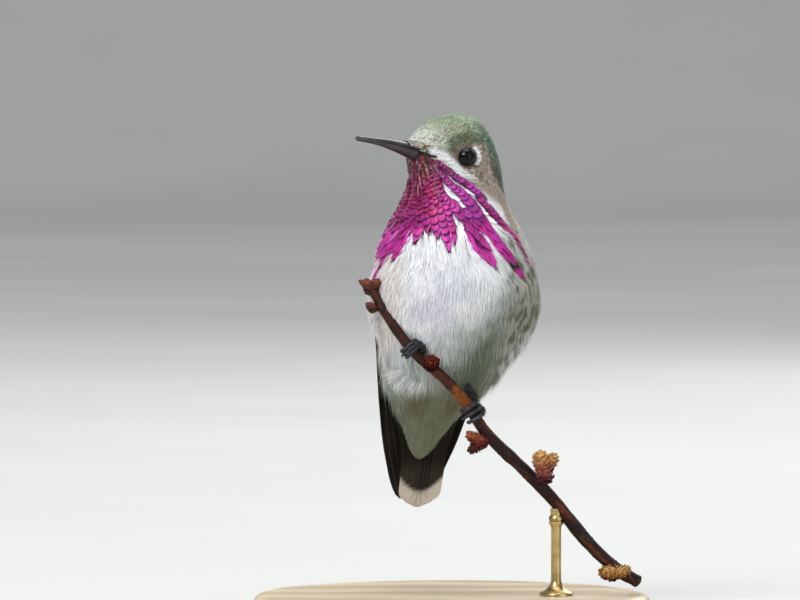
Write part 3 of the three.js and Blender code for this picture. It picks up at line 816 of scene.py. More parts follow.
def newMaterial(name, **sockets):
    material = bpy.data.materials.new(name)
    material.use_nodes = True
    shader = material.node_tree.nodes["Principled BSDF"]
    for key, value in sockets.items():
        shader.inputs[socketNames.get(key, key.capitalize())].default_value = value
    return material, material.node_tree, shader


def specks(tree, size, **span):
    return addNode(tree, "ShaderNodeGroup", {"Size": size} | span, node_tree=speckleGroup).outputs


def blend(tree, share, under, over, way="MIX"):
    values = {"Factor": share, "A": under, "B": over}
    return addNode(tree, "ShaderNodeMix", values, data_type="RGBA", blend_type=way).outputs["Result"]


def finish(made, tone, height=None, relief=0.3, depth=0.0001):
    # the colour of a finish, and its fine relief
    material, tree, shader = made
    tree.links.new(tone, shader.inputs["Base Color"])
    if height:
        bump = addNode(tree, "ShaderNodeBump", {"Height": height, "Strength": relief, "Distance": depth})
        tree.links.new(bump.outputs["Normal"], shader.inputs["Normal"])
    return material


def tintFinish(made, mask, span, height, relief, depth):
    # the mesh's own colours, broken by a mask whose span gives its two ends and what they become
    tree = made[1]
    dark = addNode(tree, "ShaderNodeMapRange", {"Value": mask} | dict(
        zip(("From Min", "From Max", "To Min", "To Max"), span)))
    shade = addNode(tree, "ShaderNodeAttribute", attribute_name="tint")
    tone = blend(tree, 1.0, shade.outputs["Color"], dark.outputs["Result"], "MULTIPLY")
    return finish(made, tone, height, relief, depth)


def featherMaterial(name, barb=0.25, relief=0.3, spacing=0.09, **sockets):
    made = newMaterial(name, **sockets)
    where = addNode(made[1], "ShaderNodeUVMap", uv_map="vane")
    barbs = addNode(made[1], "ShaderNodeGroup", {"Map": where.outputs["UV"], "Spacing": spacing},
                    node_tree=barbsGroup).outputs["Barbs"]
    return tintFinish(made, barbs, (0.3, 0.65, 1 - barb, 1.04), barbs, relief, 0.00005)


softFeather = featherMaterial("soft body feathers", barb=0.12, relief=0.25, roughness=0.8, specular=0.2,
                              sheen=0.15)
faceFeather = featherMaterial("close face feathers", barb=0.2, relief=0.3, roughness=0.62, specular=0.35,
                              sheen=0.1)
greenFeather = featherMaterial("bronze green feathers", barb=0.3, relief=0.4, roughness=0.42, metallic=0.45,
                               specular=0.4)
gorgetFeather = featherMaterial("glossy throat feathers", barb=0.3, relief=0.35, spacing=0.07, roughness=0.4,
                                metallic=0.3, specular=0.3)
flightFeather = featherMaterial("dark flight feathers", barb=0.35, relief=0.5, spacing=0.14, roughness=0.6,
                                specular=0.12)


def skinMaterial(name, size, least, roughness, specular):
    made = newMaterial(name, roughness=roughness, specular=specular)
    speck = specks(made[1], size)
    return tintFinish(made, speck["Mask"], (0.0, 1.0, least, 1.0), speck["Fine"], 0.4, 0.0001)


def hardMaterial(name, dark, light, size=0.001, low=0.35, high=0.7, relief=0.3, depth=0.0001, **sockets):
    # two colours in soft patches, with a fine relief
    made = newMaterial(name, **sockets)
    speck = specks(made[1], size, Low=low, High=high)
    tone = blend(made[1], speck["Mask"], (*linear(dark), 1), (*linear(light), 1))
    return finish(made, tone, speck["Fine"], relief, depth)


print("finishes ready")


# ---------- skin
skin = {"levels": 150, "sides": 128, "headDepth": 0.55, "bodyDepth": 1.3}


def skinDepth(share, height):
    row = coatRow(share)
    room = 0.42 * np.minimum(row[..., 3], row[..., 4])
    return np.minimum(skin["headDepth"] + (skin["bodyDepth"] - skin["headDepth"])
                      * ramp(height, 68, 58), room)


def makeSkin():
    share = np.linspace(0, 1, skin["levels"])[1:-1]
    angle = np.linspace(0, 2 * math.pi, skin["sides"], endpoint=False)
    shares, angles = np.meshgrid(share, angle, indexing="ij")
    outer = coatPoint(shares, angles)
    normal = coatNormal(shares, angles)
    normal = normal * np.sign((normal * (outer - coatPoint(shares, angles + math.pi))).sum(axis=-1,
                                                                                           keepdims=True))
    inner = outer - normal * skinDepth(shares, outer[..., 2])[..., None]
    points, faces = closedRings(inner, (0.5, -1.6, 78.7 - skin["headDepth"]), (-5.0, 13.6, 24.7))
    return meshObject("skin", points, faces, unwrapped(points), None, coatTint(points))


settle(makeSkin(), skinMaterial("skin and down", 0.0007, 0.72, 0.85, 0.2), "plumage", "head", "neck", "trunk")
print("skin made")


# ---------- eyes
def eyeCentre(side):
    return headPoint(eyePlace["ahead"], side * eyePlace["out"], eyePlace["up"])


def eyeAxis(side):
    return unit(headLeft * side * 0.86 + headAhead * 0.5 + upward * 0.02)


def ringWays(axis, sides, near=(0.31, 0.17, 0.93)):
    # unit ways all round an axis
    across = unit(np.cross(axis, near))
    other = np.cross(axis, across)
    angle = np.linspace(0, 2 * math.pi, sides, endpoint=False)[:, None]
    return np.cos(angle) * across + np.sin(angle) * other


def roundSolid(centre, axis, sides, radius, height):
    # a closed solid of rings round an axis; radius and height run from one pole to the other
    axis = unit(np.asarray(axis, float))
    middle = centre + axis * np.asarray(height)[:, None]
    rings = middle[1:-1, None] + ringWays(axis, sides) * np.asarray(radius)[1:-1, None, None]
    return closedRings(rings, middle[0], middle[-1])


def eyeMaterial():
    made = newMaterial("glossy eye", roughness=0.04, specular=0.22)
    mask = specks(made[1], 0.0006)["Mask"]
    return finish(made, blend(made[1], mask, (0.0008, 0.0007, 0.0009, 1), (0.0022, 0.0016, 0.0015, 1)))


def ringTube(centre, axis, radius, thickness, lift, sides, around, beads):
    # a closed ring with low beads, such as a lid's rim
    turn = np.linspace(0, 2 * math.pi, sides, endpoint=False)[:, None]
    small = np.linspace(0, 2 * math.pi, around, endpoint=False)
    bead = thickness * (1 + 0.16 * np.sin(turn * beads) + 0.07 * np.sin(turn * 7 + 1))
    outward = ringWays(axis, sides, upward)[:, None] * (radius + bead * np.cos(small))[..., None]
    points = (centre + axis * lift + outward + axis * (bead * np.sin(small))[..., None]).reshape(-1, 3)
    return points, ringQuads(sides, around, True)


lid = {"spread": 62, "thickness": 0.12, "beads": 26}
lidMaterial = hardMaterial("bare lid rim", (48, 44, 40), (92, 86, 78), size=0.0005, relief=0.6,
                           roughness=0.55)
glossyEye = eyeMaterial()
for side, name in ((1, "eye_left"), (-1, "eye_right")):
    polar = np.linspace(0, math.pi, 41)
    bulge = 1 + 0.035 * np.exp(-((polar / 0.6) ** 2))
    points, faces = roundSolid(eyeCentre(side), eyeAxis(side), 56, eyePlace["radius"] * np.sin(polar) * bulge,
                               eyePlace["radius"] * np.cos(polar) * bulge)
    settle(meshObject("eyeball_" + name[4:], points, faces), glossyEye, "eye", name)
    spread = math.radians(lid["spread"])
    points, faces = ringTube(
        eyeCentre(side), eyeAxis(side), eyePlace["radius"] * math.sin(spread) + 0.05, lid["thickness"],
        eyePlace["radius"] * math.cos(spread), 96, 10, lid["beads"])
    settle(meshObject("lid_" + name[4:], points, faces), lidMaterial, "eye")
print("eyes made")


# ---------- bill, in two halves that meet along the gape
bill = {"reach": 13.9, "root": 4.5, "arch": 0.36, "gape": 0.035, "rings": 64, "sides": 28}


def makeBill(name, top):
    start = billBase - bill["root"] * billWay
    middle = billBase + 0.45 * bill["reach"] * billWay + bill["arch"] * upward
    end = billBase + bill["reach"] * billWay
    run = 0.5 - 0.5 * np.cos(math.pi * np.linspace(0, 1, bill["rings"]))
    spot = curveThrough([start, middle, end], run)
    way = curveWay([start, middle, end], np.clip(run, 0.002, 0.998))
    over = unit(upward - way * (way @ upward)[:, None])
    aside = np.cross(way, over)
    close = rounding(np.minimum(run, 1 - run), 0.06)
    width = (0.3 + 1.1 * (1 - run) ** 1.7) * close
    height = (0.34 + (0.98 if top else 1.8) * (1 - run) ** 2.1) * close
    count = bill["sides"]
    half = count // 2
    turn = np.linspace(0, math.pi, half + 1)
    # the curved outer half, then the flat inner side back
    flat = np.linspace(-1, 1, count - half + 1)[1:-1]
    x = np.concatenate([np.cos(turn), flat])
    y = np.concatenate([np.sin(turn), np.zeros(len(flat))])
    keel = 0.05 * np.exp(-((x / 0.25) ** 2)) * (y > 0.3)
    sign = 1 if top else -1
    scale, deep = (1.0, 1.05) if top else (0.94, 1.1)
    lift = bill["gape"] * np.minimum(close, 1)
    points = (
        spot[:, None] + aside[:, None] * (width[:, None] * x * scale)[..., None]
        + over[:, None] * (sign * (deep * height[:, None] * (y + keel) + lift[:, None]))[..., None]
    )
    quads = ringQuads(*points.shape[:2])
    if top:
        quads = quads[:, ::-1]
    made = meshObject(name, points.reshape(-1, 3), quads)
    weld(made)
    return made


billMaterial = hardMaterial("horny bill", (20, 19, 23), (58, 50, 58), size=0.0022, low=0.4, high=0.75,
                            relief=0.15, depth=0.00004, roughness=0.34, specular=0.5, coat=0.25,
                            coatRoughness=0.25)
billTop = makeBill("bill_top", True)
settle(billTop, billMaterial, "bill", "bill_upper")
settle(makeBill("bill_under", False), billMaterial, "bill", "bill_lower")
print("bill made")


# ---------- small feathers of the head
def eyeRoom(points):
    # distance from the nearer eye's axis, on that eye's own side
    least = np.full(points.shape[:-1], 99.0)
    for side in (1, -1):
        away = points - eyeCentre(side)
        out = away @ eyeAxis(side)
        reach = np.linalg.norm(away - out[..., None] * eyeAxis(side), axis=-1)
        least = np.minimum(least, np.where(out > -1, reach, 99.0))
    return least


def billDistance(points):
    run = np.linspace(0, 1, 12)
    stem = (billBase + 1.0 * billWay)[None] + (run - 0.5)[:, None] * 6 * billWay
    return np.linalg.norm(points[:, None] - stem[None], axis=2).min(axis=1)


def throatShare(points):
    # 1 on the throat, under the cheek stripe, down to the longest rays
    head = headPlace(points)
    ahead, out, high = head[:, 0], np.abs(head[:, 1]), head[:, 2]
    line = np.interp(ahead, [-4, -1.5, 2.0, 3.4, 4.9, 6.5, 8.4, 9.5],
                     [-12, -8.5, -4.2, -3.2, -2.3, -1.2, 0.4, 0.9])
    return ramp(line - high, 0, 0.5)


scale = {"outline": [0.55, 0.95, 1.0, 0.8, 0.25], "across": [-1, 0, 1], "camber": 0.35}
# the head feathers' shade: darker roots, partly their own grey bases and partly painted shade under the
# overlapping feathers
headCoat = {"crownSpacing": 0.21, "faceSpacing": 0.17, "crownLength": 0.9, "faceLength": 0.85,
            "shade": [0.4, 0.52, 0.8, 1.06, 0.95]}


def headPlumes(points, length, half, rise, seed):
    draw = np.random.default_rng(seed)
    count = len(points)
    grow = 1 + 1.1 * ramp(points[:, 2], 67, 61) * ramp(behindEdge(points), -0.1, 0.1)
    lengths = length * draw.uniform(0.8, 1.2, count) * grow
    line, normals = walked(points, lengths, 4, draw.normal(0, 0.16, count))
    keep = (eyeRoom(line).min(axis=1) > 1.5) & (billDistance(line[:, -1]) > 0.85)
    line, normals, grow = line[keep], normals[keep], grow[keep]
    count = len(line)
    lift = np.linspace(rise[0], rise[1], 5)[None] + draw.normal(0, 0.035, (count, 1)) * np.linspace(0, 1, 5)
    lift = lift - 0.25 * ramp(eyeRoom(line), 2.5, 1.5)
    colour = lineTint(line)
    pale = ramp(colour.mean(axis=-1), 0.3, 0.62)
    vary = 1 + (draw.uniform(0.78, 1.16, count)[:, None, None] - 1) * (1 - 0.6 * pale)
    shade = crossed(headCoat["shade"], [0.8, 1.05, 0.8])
    # pale feathers get less of the painted root shade
    shade = (shade + (1 - shade) * 0.75 * pale) * vary
    return vanes(line, normals, half * grow * draw.uniform(0.85, 1.15, count), scale | {"rise": lift},
                 colour, shade)


def crownWanted(points):
    head = headPlace(points)
    return (np.maximum(ramp(head[:, 2], 1.6, 2.0), ramp(behindEdge(points), -0.08, -0.04))
            * ramp(points[:, 2], 60, 61))


def faceWanted(points):
    return (1 - crownWanted(points)) * (1 - throatShare(points)) * ramp(points[:, 2], 61.0, 62.0)


crownRoots = scattered(90000, headCoat["crownSpacing"], crownWanted, 11)
faceRoots = scattered(90000, headCoat["faceSpacing"], faceWanted, 12)
coatPiece("crown_feathers", faceFeather,
          headPlumes(crownRoots, headCoat["crownLength"], 0.2, (-0.34, 0.03), 13))
coatPiece("face_feathers", faceFeather,
          headPlumes(faceRoots, headCoat["faceLength"], 0.11, (-0.32, 0.02), 14))


nostril = {"count": 1100, "turn": [0, 45, 60, 72, 95], "front": [2.5, 2.3, 1.6, 0.1, -1.2], "depth": 3.2,
           "tones": ("forehead", "cheekPale", "cheek", "lore", "gape"),
           "shares": (0.3, 0.24, 0.2, 0.15, 0.11)}


def nostrilPlumes(seed):
    # mottled plumes that lap over the bill's root, further forward on top than at the sides
    draw = np.random.default_rng(seed)
    shell, outward = placesOf(billTop), placesOf(billTop, True)
    over = unit(upward - billWay * (billWay @ upward))
    turn = np.degrees(np.arccos(np.clip(outward @ over, -1, 1)))
    front = np.interp(turn, nostril["turn"], nostril["front"])
    along = (shell - billBase) @ billWay
    near = np.flatnonzero((along < front) & (along > front - nostril["depth"]) & (turn < 104))
    count = nostril["count"]
    pick = draw.choice(near, count)
    outward = unit(outward[pick] - billWay * (outward[pick] @ billWay)[:, None])
    aside = np.cross(billWay, outward)
    steps = np.linspace(0, 1, 5)
    tips = (shell[pick] + draw.normal(0, 0.1, (count, 1)) * aside
            + draw.uniform(-0.25, 0.25, (count, 1)) * billWay)
    way = unit(billWay + 0.03 * outward + draw.normal(0, 0.16, count)[:, None] * aside)
    line = tips[:, None] - way[:, None] * (draw.uniform(0.6, 1.1, count)[:, None] * (1 - steps))[..., None]
    lift = 0.05 + 0.28 * ramp(front[pick] - along[pick], 0, 2.5)[:, None] + 0.06 * steps
    colour = np.array([tint[name] for name in nostril["tones"]])[draw.choice(5, count, p=nostril["shares"])]
    return vanes(line, np.broadcast_to(outward[:, None], line.shape), draw.uniform(0.08, 0.13, count),
                 scale | {"rise": lift}, colour, crossed([0.6, 0.8, 1, 1.05, 1], np.ones(3)))


coatPiece("nostril_feathers", faceFeather, nostrilPlumes(15))
print("head coat made")


# ---------- throat: rays of glossy scales over white feathers
gorgetTint = linearTints({
    "red": (174, 44, 88), "magenta": (172, 42, 138), "purple": (168, 54, 154), "pale": (240, 196, 214),
    "chin": (58, 54, 40), "rust": (150, 40, 84), "shaft": (216, 168, 170)})
# the scales' shades darken their roots, edges and tips: partly their own dark bases and partly painted shade,
# the dark outlines where neighbouring scales overlap
ray = {"steps": 9, "scale": 1.25, "least": 0.5, "longBelow": 62.4,
       "long": ("leftEdge", "leftMid", "leftLow", "leftInner", "lowRay", "longRay", "thinRay", "hiddenRay",
                "sideRay"),
       "blunt": [0.55, 0.8, 0.94, 1.0, 1.03, 1.02, 0.94, 0.75, 0.4],
       "sharp": [0.45, 0.72, 0.9, 1.0, 0.97, 0.84, 0.62, 0.34, 0.04],
       "alongShade": [0.2, 0.3, 0.5, 0.8, 1.0, 1.04, 1.06, 1.0, 0.14],
       "longShade": [0.3, 0.45, 0.7, 0.88, 0.98, 1.04, 1.08, 1.0, 0.6],
       "acrossShade": [0.1, 0.86, 1.04, 0.9, 1.06, 0.9, 0.1],
       "longAcross": [0.12, 0.85, 1.1, 0.5, 1.12, 0.8, 0.12]}


def breastFlow(points):
    away, _, way = nearRay(points)
    share = (1 - ramp(away, 1.2, 4.5)) * ramp(points[:, 2], 50, 54)
    return unit(mixed(flow(points), way, share))


def gorgetColour(points, draw):
    x, z = points[:, 0], points[:, 2]
    count = len(points)

    def wavering(share):
        return np.clip(share + 0.2 * draw.normal(size=count), 0, 1)

    colour = layered(
        gorgetTint, "magenta",
        ("red", wavering(ramp(x, -0.2, -4.2) * ramp(z, 59, 66.5)) * 0.85),
        ("purple", wavering(ramp(x, -1.5, 1.5) * ramp(z, 60.5, 63) * 0.75)),
        ("chin", 0.8 * ramp(z + draw.normal(0, 0.5, count), 69.6, 71.4) * ramp(x, -1.0, -3)))
    level = (1 - 0.2 * ramp(z, 66, 69.5)) * (1 + 0.5 * ramp(z, 62, 58.5))
    return colour * draw.uniform(0.68, 1.2, (count, 1)) * level[:, None]


def rayPlace(course, s):
    # places along a ray, straight on before its start
    spots, _, travel = course

    def at(s):
        return np.stack([np.interp(s, travel, spots[:, k]) for k in range(3)], axis=-1)

    return at(np.maximum(s, 0)) + unit(at(0.4) - at(0.0)) * np.minimum(s, 0)[..., None]


def onCoat(lines):
    # the lines laid on the coat, the coat's normals there and the way aside
    near, normal = lie(lines.reshape(-1, 3))
    normal = normal.reshape(lines.shape)
    return near.reshape(lines.shape), normal, unit(np.cross(unit(np.gradient(lines, axis=1)), normal))


def rayScales(name, draw):
    course = rayCourses[name]
    _, width, travel = course
    total = travel[-1]
    made = []  # end along the ray, shift aside, breadth, length and how pointed
    for column in range(3):
        end = 0.35 + 0.33 * column + draw.uniform(0, 0.25)
        while end < total - 0.9:
            spread = np.interp(end - 0.3, travel, width)
            low = name in ray["long"] and rayPlace(course, end)[2] < ray["longBelow"]
            many = int(np.clip(round(spread / ray["scale"]), 1, 2 if low else 3))
            breadth = max(spread, 0.8) / many * (0.74 + 0.18 * many if low else 1.02 + 0.12 * many)
            if column < many:
                lean = (column - (many - 1) / 2) * spread / many + draw.normal(0, 0.05)
                if low:
                    lean += spread * 0.1 * draw.choice((-1, 1))
                long = max(3.9, breadth * 3.3) if low else max(1.25, breadth * 1.6)
                made.append((end, lean, breadth, long, 0.95 if low else 0.25 * draw.random()))
            end += max(ray["least"], breadth * (1.5 if low else 0.7)) * draw.uniform(0.8, 1.2)
    last = np.interp(total - 1.3, travel, width)
    for back, lean, share in ((0.75, 0.26, 0.66), (0.35, -0.24, 0.7), (0, 0, 1.0)):
        made.append((total - back * last, lean * last, last * share, max(1.6, min(4.4, last * 2.3)), 1.0))
    ends, aside, breadth, length, pointed = (np.array(column) for column in zip(*made))
    part = np.linspace(0, 1, ray["steps"])
    lines = rayPlace(course, ends[:, None] - length[:, None] * (1 - part))
    side = onCoat(lines)[2]
    facing = np.sqrt(side[:, 6, 0] ** 2 + side[:, 6, 2] ** 2)
    stretch = 1 / np.maximum(facing, 0.42)
    fan = draw.normal(0, 0.06, len(lines))[:, None] * (part - 0.4) * length[:, None]
    lines, normals, _ = onCoat(lines + side * ((aside * stretch)[:, None] + fan)[..., None])
    count = len(lines)
    rise = -0.34 + (0.54 - 0.14 * pointed[:, None] + draw.normal(0, 0.07, (count, 1))) * part**1.3
    colour = gorgetColour(lines[:, 6], draw)
    if name == "thinRay":
        colour = mixed(colour, gorgetTint["rust"], 0.45 * np.ones(count))
    if name in ("farLeft", "leftEdge", "hiddenRow"):
        colour = mixed(colour, gorgetTint["pale"], draw.uniform(0.0, 0.3, count))
    outline, along, over = (
        mixed(np.array(ray[blunt]), np.array(ray[sharp]), pointed)
        for blunt, sharp in (("blunt", "sharp"), ("alongShade", "longShade"), ("acrossShade", "longAcross")))
    form = {"across": [-1, -0.8, -0.4, 0, 0.4, 0.8, 1], "outline": outline, "rise": rise, "camber": 0.16,
            "ridge": 0.03}
    return vanes(lines, normals, 0.5 * breadth * stretch, form, colour, along[:, :, None] * over[:, None])


def rayShafts(name, draw):
    # pale bare shafts and dark slivers that run down between the upper scales
    course, count = rayCourses[name], 4
    start = draw.uniform(-0.5, 4.2, count)
    length = draw.uniform(1.0, 2.6, count)
    lines = rayPlace(course, start[:, None] + length[:, None] * np.linspace(0, 1, 5))
    shift = draw.uniform(-0.55, 0.55, count) * np.interp(start, course[2], course[1])
    lines, normals, _ = onCoat(lines + onCoat(lines)[2] * shift[:, None, None])
    tone = mixed(gorgetTint["shaft"], gorgetTint["chin"], (draw.random(count) < 0.5) * 0.8)
    form = {"outline": [0.8, 1, 1, 0.7, 0.1], "across": [-1, 1], "camber": 0,
            "rise": 0.1 + 0.14 * np.array([0, 0.7, 1, 1, 0.7])}
    return vanes(lines, normals, draw.uniform(0.025, 0.045, count), form,
                 tone * draw.uniform(0.55, 0.95, (count, 1)))


throatDraw = np.random.default_rng(77)
settle(joined("gorget", [rayScales(name, throatDraw) for name in rayCourses]), gorgetFeather, "gorget")
upperRays = [name for name in gorgetRays if name not in ("lowRay", "thinRay")]
coatPiece("throat_shafts", softFeather, *(rayShafts(name, throatDraw) for name in upperRays))


def throatWanted(points):
    return throatShare(points) * ramp(points[:, 2], 57.5, 60) * ramp(sectionPlace(points)[2], 0.3, 0.1)


def chinWanted(points):
    return throatShare(points) * ramp(np.linalg.norm(points - billBase, axis=1), 2.9, 2.0)


def throatDown(points, half, lengths, rise, colour, seed, yaw=0.08):
    # colour None: the coat's own white, dark under the scales
    draw = np.random.default_rng(seed)
    count = len(points)
    line, normals = walked(points, lengths * draw.uniform(0.8, 1.2, count), 4, draw.normal(0, yaw, count),
                           breastFlow)
    keep = billDistance(line[:, -1]) > 0.9
    line, normals = line[keep], normals[keep]
    if colour is None:
        colour = mixed(tint["white"], tint["throatRoot"], rayShare(line))[:, :, None]
    else:
        colour = colour[keep][:, None, None]
    colour = colour * draw.uniform(0.85, 1.05, (len(line), 1, 1, 1))
    form = scale | {"rise": np.linspace(rise[0], rise[1], 5)}
    return vanes(line, normals, half * draw.uniform(0.8, 1.2, len(line)), form, colour,
                 crossed([0.7, 0.85, 1.0, 1.03, 0.98], [0.93, 1.02, 0.93]))


throatRoots = scattered(9000, 0.5, throatWanted, 21)
chinRoots = scattered(9000, 0.13, chinWanted, 24)
chinDraw = np.random.default_rng(25)
chinTones = np.array([gorgetTint[name] for name in ("chin", "chin", "chin", "rust", "rust", "shaft")])
chinColours = chinTones[chinDraw.integers(0, 6, len(chinRoots))] * 0.9
coatPiece("throat_down", softFeather, throatDown(throatRoots, 0.38, 1.9, (-0.6, -0.24), None, 22),
          throatDown(chinRoots, 0.085, 1.25, (-0.25, 0.2), chinColours, 23, 0.12))
print("throat made")


# ---------- body coat: broad soft vanes under fine hair-like barbs
bodyVane = {"spacing": 0.85, "length": 4.6, "lengths": (0.8, 1.15), "sway": 0.1, "way": breastFlow,
            "clear": 0.9, "lift": (-1.05, -0.42), "loose": 0.06, "tones": (0.95, 1.03), "half": 1.0,
            "halves": (0.75, 1.05), "outline": [0.35, 0.7, 0.95, 1.0, 0.9, 0.45],
            "across": [-1, -0.5, 0, 0.5, 1], "camber": 0.12, "along": [0.85, 0.9, 0.96, 1.0, 1.0, 1.0],
            "over": [0.97, 1.0, 1.0, 1.0, 0.97]}
bodyBarb = {"spacing": 0.165, "length": 2.9, "half": 0.05, "outline": [0.7, 1.0, 0.9, 0.65, 0.12],
            "across": [-1, 1], "camber": 0}


def bodyWanted(points):
    green = ramp(behindEdge(points), 0.06, 0.0)
    return ramp(points[:, 2], 62.5, 61.5) * green * ramp(points[:, 2], 24.4, 25)


def bodyBarbs(points, seed):
    draw = np.random.default_rng(seed)
    count = len(points)
    shaggy = ramp(points[:, 2], 48, 42) * ramp(points[:, 2], 30, 36)
    lock = shaggy * ramp(mottle(points, 1.15, 12), 0.5, 0.72) * ramp(np.abs(bodyPlace(points)[:, 0]), 4, 8)
    lengths = bodyBarb["length"] * draw.uniform(0.7, 1.2, count) * (1 + 0.3 * shaggy + 0.35 * lock)
    clump = mottle(points, 1.3, 9) - 0.5
    line, normals = walked(points, lengths, 4, draw.normal(0, 0.07, count) + 0.45 * clump, breastFlow)
    keep = clearOfRays(line, 0.8)
    line, normals, points, shaggy, lock = (a[keep] for a in (line, normals, points, shaggy, lock))
    count = len(line)
    tip = (draw.normal(0.02, 0.1, count) + shaggy * draw.gamma(1.2, 0.12, count)
           + lock * draw.uniform(0.3, 1.0, count))
    rise = -0.45 + (0.45 + tip)[:, None] * np.linspace(0, 1, 5) ** 1.4
    vary = draw.uniform(0.82, 1.1, count) * (0.86 + 0.28 * mottle(points, 0.7, 8))
    return vanes(line, normals, bodyBarb["half"] * draw.uniform(0.7, 1.3, count), bodyBarb | {"rise": rise},
                 lineTint(line) * vary[:, None, None, None],
                 crossed([0.72, 0.86, 1.0, 1.04, 1.06], np.ones(2)))


bodyRoots = scattered(16000, bodyVane["spacing"], bodyWanted, 31)
coatPiece("body_vanes", softFeather, broadPlumes(bodyRoots, bodyVane, 32))
barbRoots = scattered(220000, bodyBarb["spacing"], bodyWanted, 33)
barbRoots = barbRoots[np.argsort(barbRoots[:, 2])]
for place, name in enumerate(("vent_barbs", "belly_barbs", "breast_barbs")):
    coatPiece(name, softFeather, bodyBarbs(np.array_split(barbRoots, 3)[place], 34 + place))
print("body coat made")


# ---------- green back, between the wings
back = {"spacing": 0.8, "length": 2.9, "lengths": (0.85, 1.2), "sway": 0.1, "lift": (-0.75, 0.02),
        "loose": 0.05, "tones": (0.8, 1.2), "half": 0.85, "halves": (0.85, 1.15),
        "outline": [0.5, 0.85, 1.0, 0.98, 0.75, 0.2], "across": [-1, -0.55, 0, 0.55, 1], "camber": 0.2,
        "along": [0.3, 0.5, 0.8, 1.0, 1.15, 0.75], "over": [0.6, 0.95, 1.1, 0.95, 0.6]}


def backWanted(points):
    return (ramp(behindEdge(points), -0.1, -0.04) * ramp(points[:, 2], 61.5, 60.5)
            * ramp(points[:, 2], 24.4, 25))


backRoots = scattered(12000, back["spacing"], backWanted, 41)
longer = 1 + 0.5 * ramp(backRoots[:, 2], 42, 34)
narrower = 1 - 0.35 * ramp(backRoots[:, 2], 30, 26)
coatPiece("back_feathers", greenFeather, broadPlumes(backRoots, back, 42, longer, narrower))
print("back made")


# ---------- coverts under the tail
under = {"spacing": 0.85, "length": 4.4, "lengths": (0.8, 1.15), "sway": 0.14, "lift": (-0.9, -0.3),
         "loose": 0.06, "tones": (0.92, 1.05), "half": 0.95, "halves": (0.8, 1.1),
         "outline": [0.4, 0.8, 1.0, 0.92, 0.62, 0.1], "across": [-1, -0.55, 0, 0.55, 1], "camber": 0.15,
         "along": [0.7, 0.78, 0.9, 1.0, 1.06, 1.12], "over": [1.12, 1.0, 0.9, 1.0, 1.12]}


def underWanted(points):
    return ramp(behindEdge(points), 0.06, 0.0) * ramp(points[:, 2], 36.5, 35.5) * ramp(points[:, 2], 24.3, 25)


underRoots = scattered(9000, under["spacing"], underWanted, 51)
coatPiece("undertail_coverts", softFeather, broadPlumes(underRoots, under, 52))


# ---------- wings and tail
wingRows = np.array([
    [10.7, 1.2, 58.5, 0, 1.0, 0.15, 0],
    [10.6, 5.6, 51.0, 0, 0.88, 0.5, 4.4],
    [7.7, 10.4, 42.5, -0.5, 0.72, 0.7, 4.2],
    [5.5, 13.8, 34.0, -1.2, 0.66, 0.75, 3.1],
    [4.0, 16.2, 25.8, -1.5, 0.6, 0.8, 2.3],
    [2.8, 18.6, 17.0, -1.7, 0.6, 0.8, 0],
])  # left, back, up, sway, out, behind, half width
tailRows = np.array([
    [-0.5, 7.4, 36.2, 0], [-0.7, 9.4, 32.4, 4.9], [-0.9, 11.5, 28.6, 4.9], [-0.9, 13.6, 24.8, 4.1],
    [-0.8, 15.6, 21.0, 3.5], [-0.8, 16.9, 18.2, 2.9], [-0.8, 17.9, 15.9, 0],
])  # left, back, up, half width
flight = {"steps": 26, "thick": 0.045}
flightTint = linearTints({
    "dark": (32, 27, 22), "edge": (124, 110, 92), "shaft": (92, 78, 66), "tail": (36, 33, 31),
    "tailEdge": (122, 112, 96), "tailSheen": (104, 96, 84), "tip": (216, 208, 200), "covert": (62, 88, 58),
    "paleEdge": (196, 178, 152), "covertEdge": (122, 122, 96)})
flightTint["covertShaft"] = flightTint["covert"] * 0.6


def wingPlace(side, run, across, lift):
    points = np.array([bodyPoint(side * r[0] + r[3], r[1], r[2]) for r in wingRows])
    centre, way = curveThrough(points, run), curveWay(points, np.clip(run, 0.002, 0.998))
    facing = stepped(wingRows[:, 4:7], run)
    face = facing[:, :1] * bodyLeft * side + facing[:, 1:2] * bodyBack + 0.2 * upward
    lead = unit(np.cross(way, face)) * side
    out = unit(np.cross(lead, way)) * side
    out = out * np.sign((out * face).sum(axis=1, keepdims=True))
    half = np.maximum(facing[:, 2], 1.9 * ramp(run, 0.55, 0.9))
    return centre + lead * (across * half)[:, None] + out * lift[:, None], out


def tailPlace(run, across, lift):
    points = np.array([bodyPoint(*r[:3]) for r in tailRows])
    centre, way = curveThrough(points, run), curveWay(points, np.clip(run, 0.002, 0.998))
    face = np.broadcast_to(bodyBack + 0.5 * upward, centre.shape)
    aside = unit(np.cross(face, way))
    out = unit(np.cross(way, aside))
    half = np.maximum(stepped(tailRows[:, [2, 3]], run)[:, 1], 0)
    half = np.maximum(half, 1.2 * ramp(run, 0.75, 1))
    return centre + aside * (across * half)[:, None] + out * lift[:, None], out


def longVane(place, runs, across, lifts, half, outline, bend=1.0):
    # one flight feather: runs, across and lifts are its values at root and tip
    def between(pair, power=1.0):
        return pair[0] + (pair[1] - pair[0]) * np.linspace(0, 1, flight["steps"]) ** power

    line, normals = place(between(runs), between(across, bend), between(lifts))
    return line, normals, half, outline


def longVanes(items, colours, shades):
    lines, normals, half, outlines = (np.array(column) for column in zip(*items))
    form = {"across": vaneAcross, "outline": outlines,
            "rise": np.zeros(flight["steps"]), "camber": 0.12, "thick": flight["thick"]}
    return vanes(lines, normals, half, form, np.asarray(colours)[:, None, None] * shades, patch=0.02)


part = np.linspace(0, 1, flight["steps"])


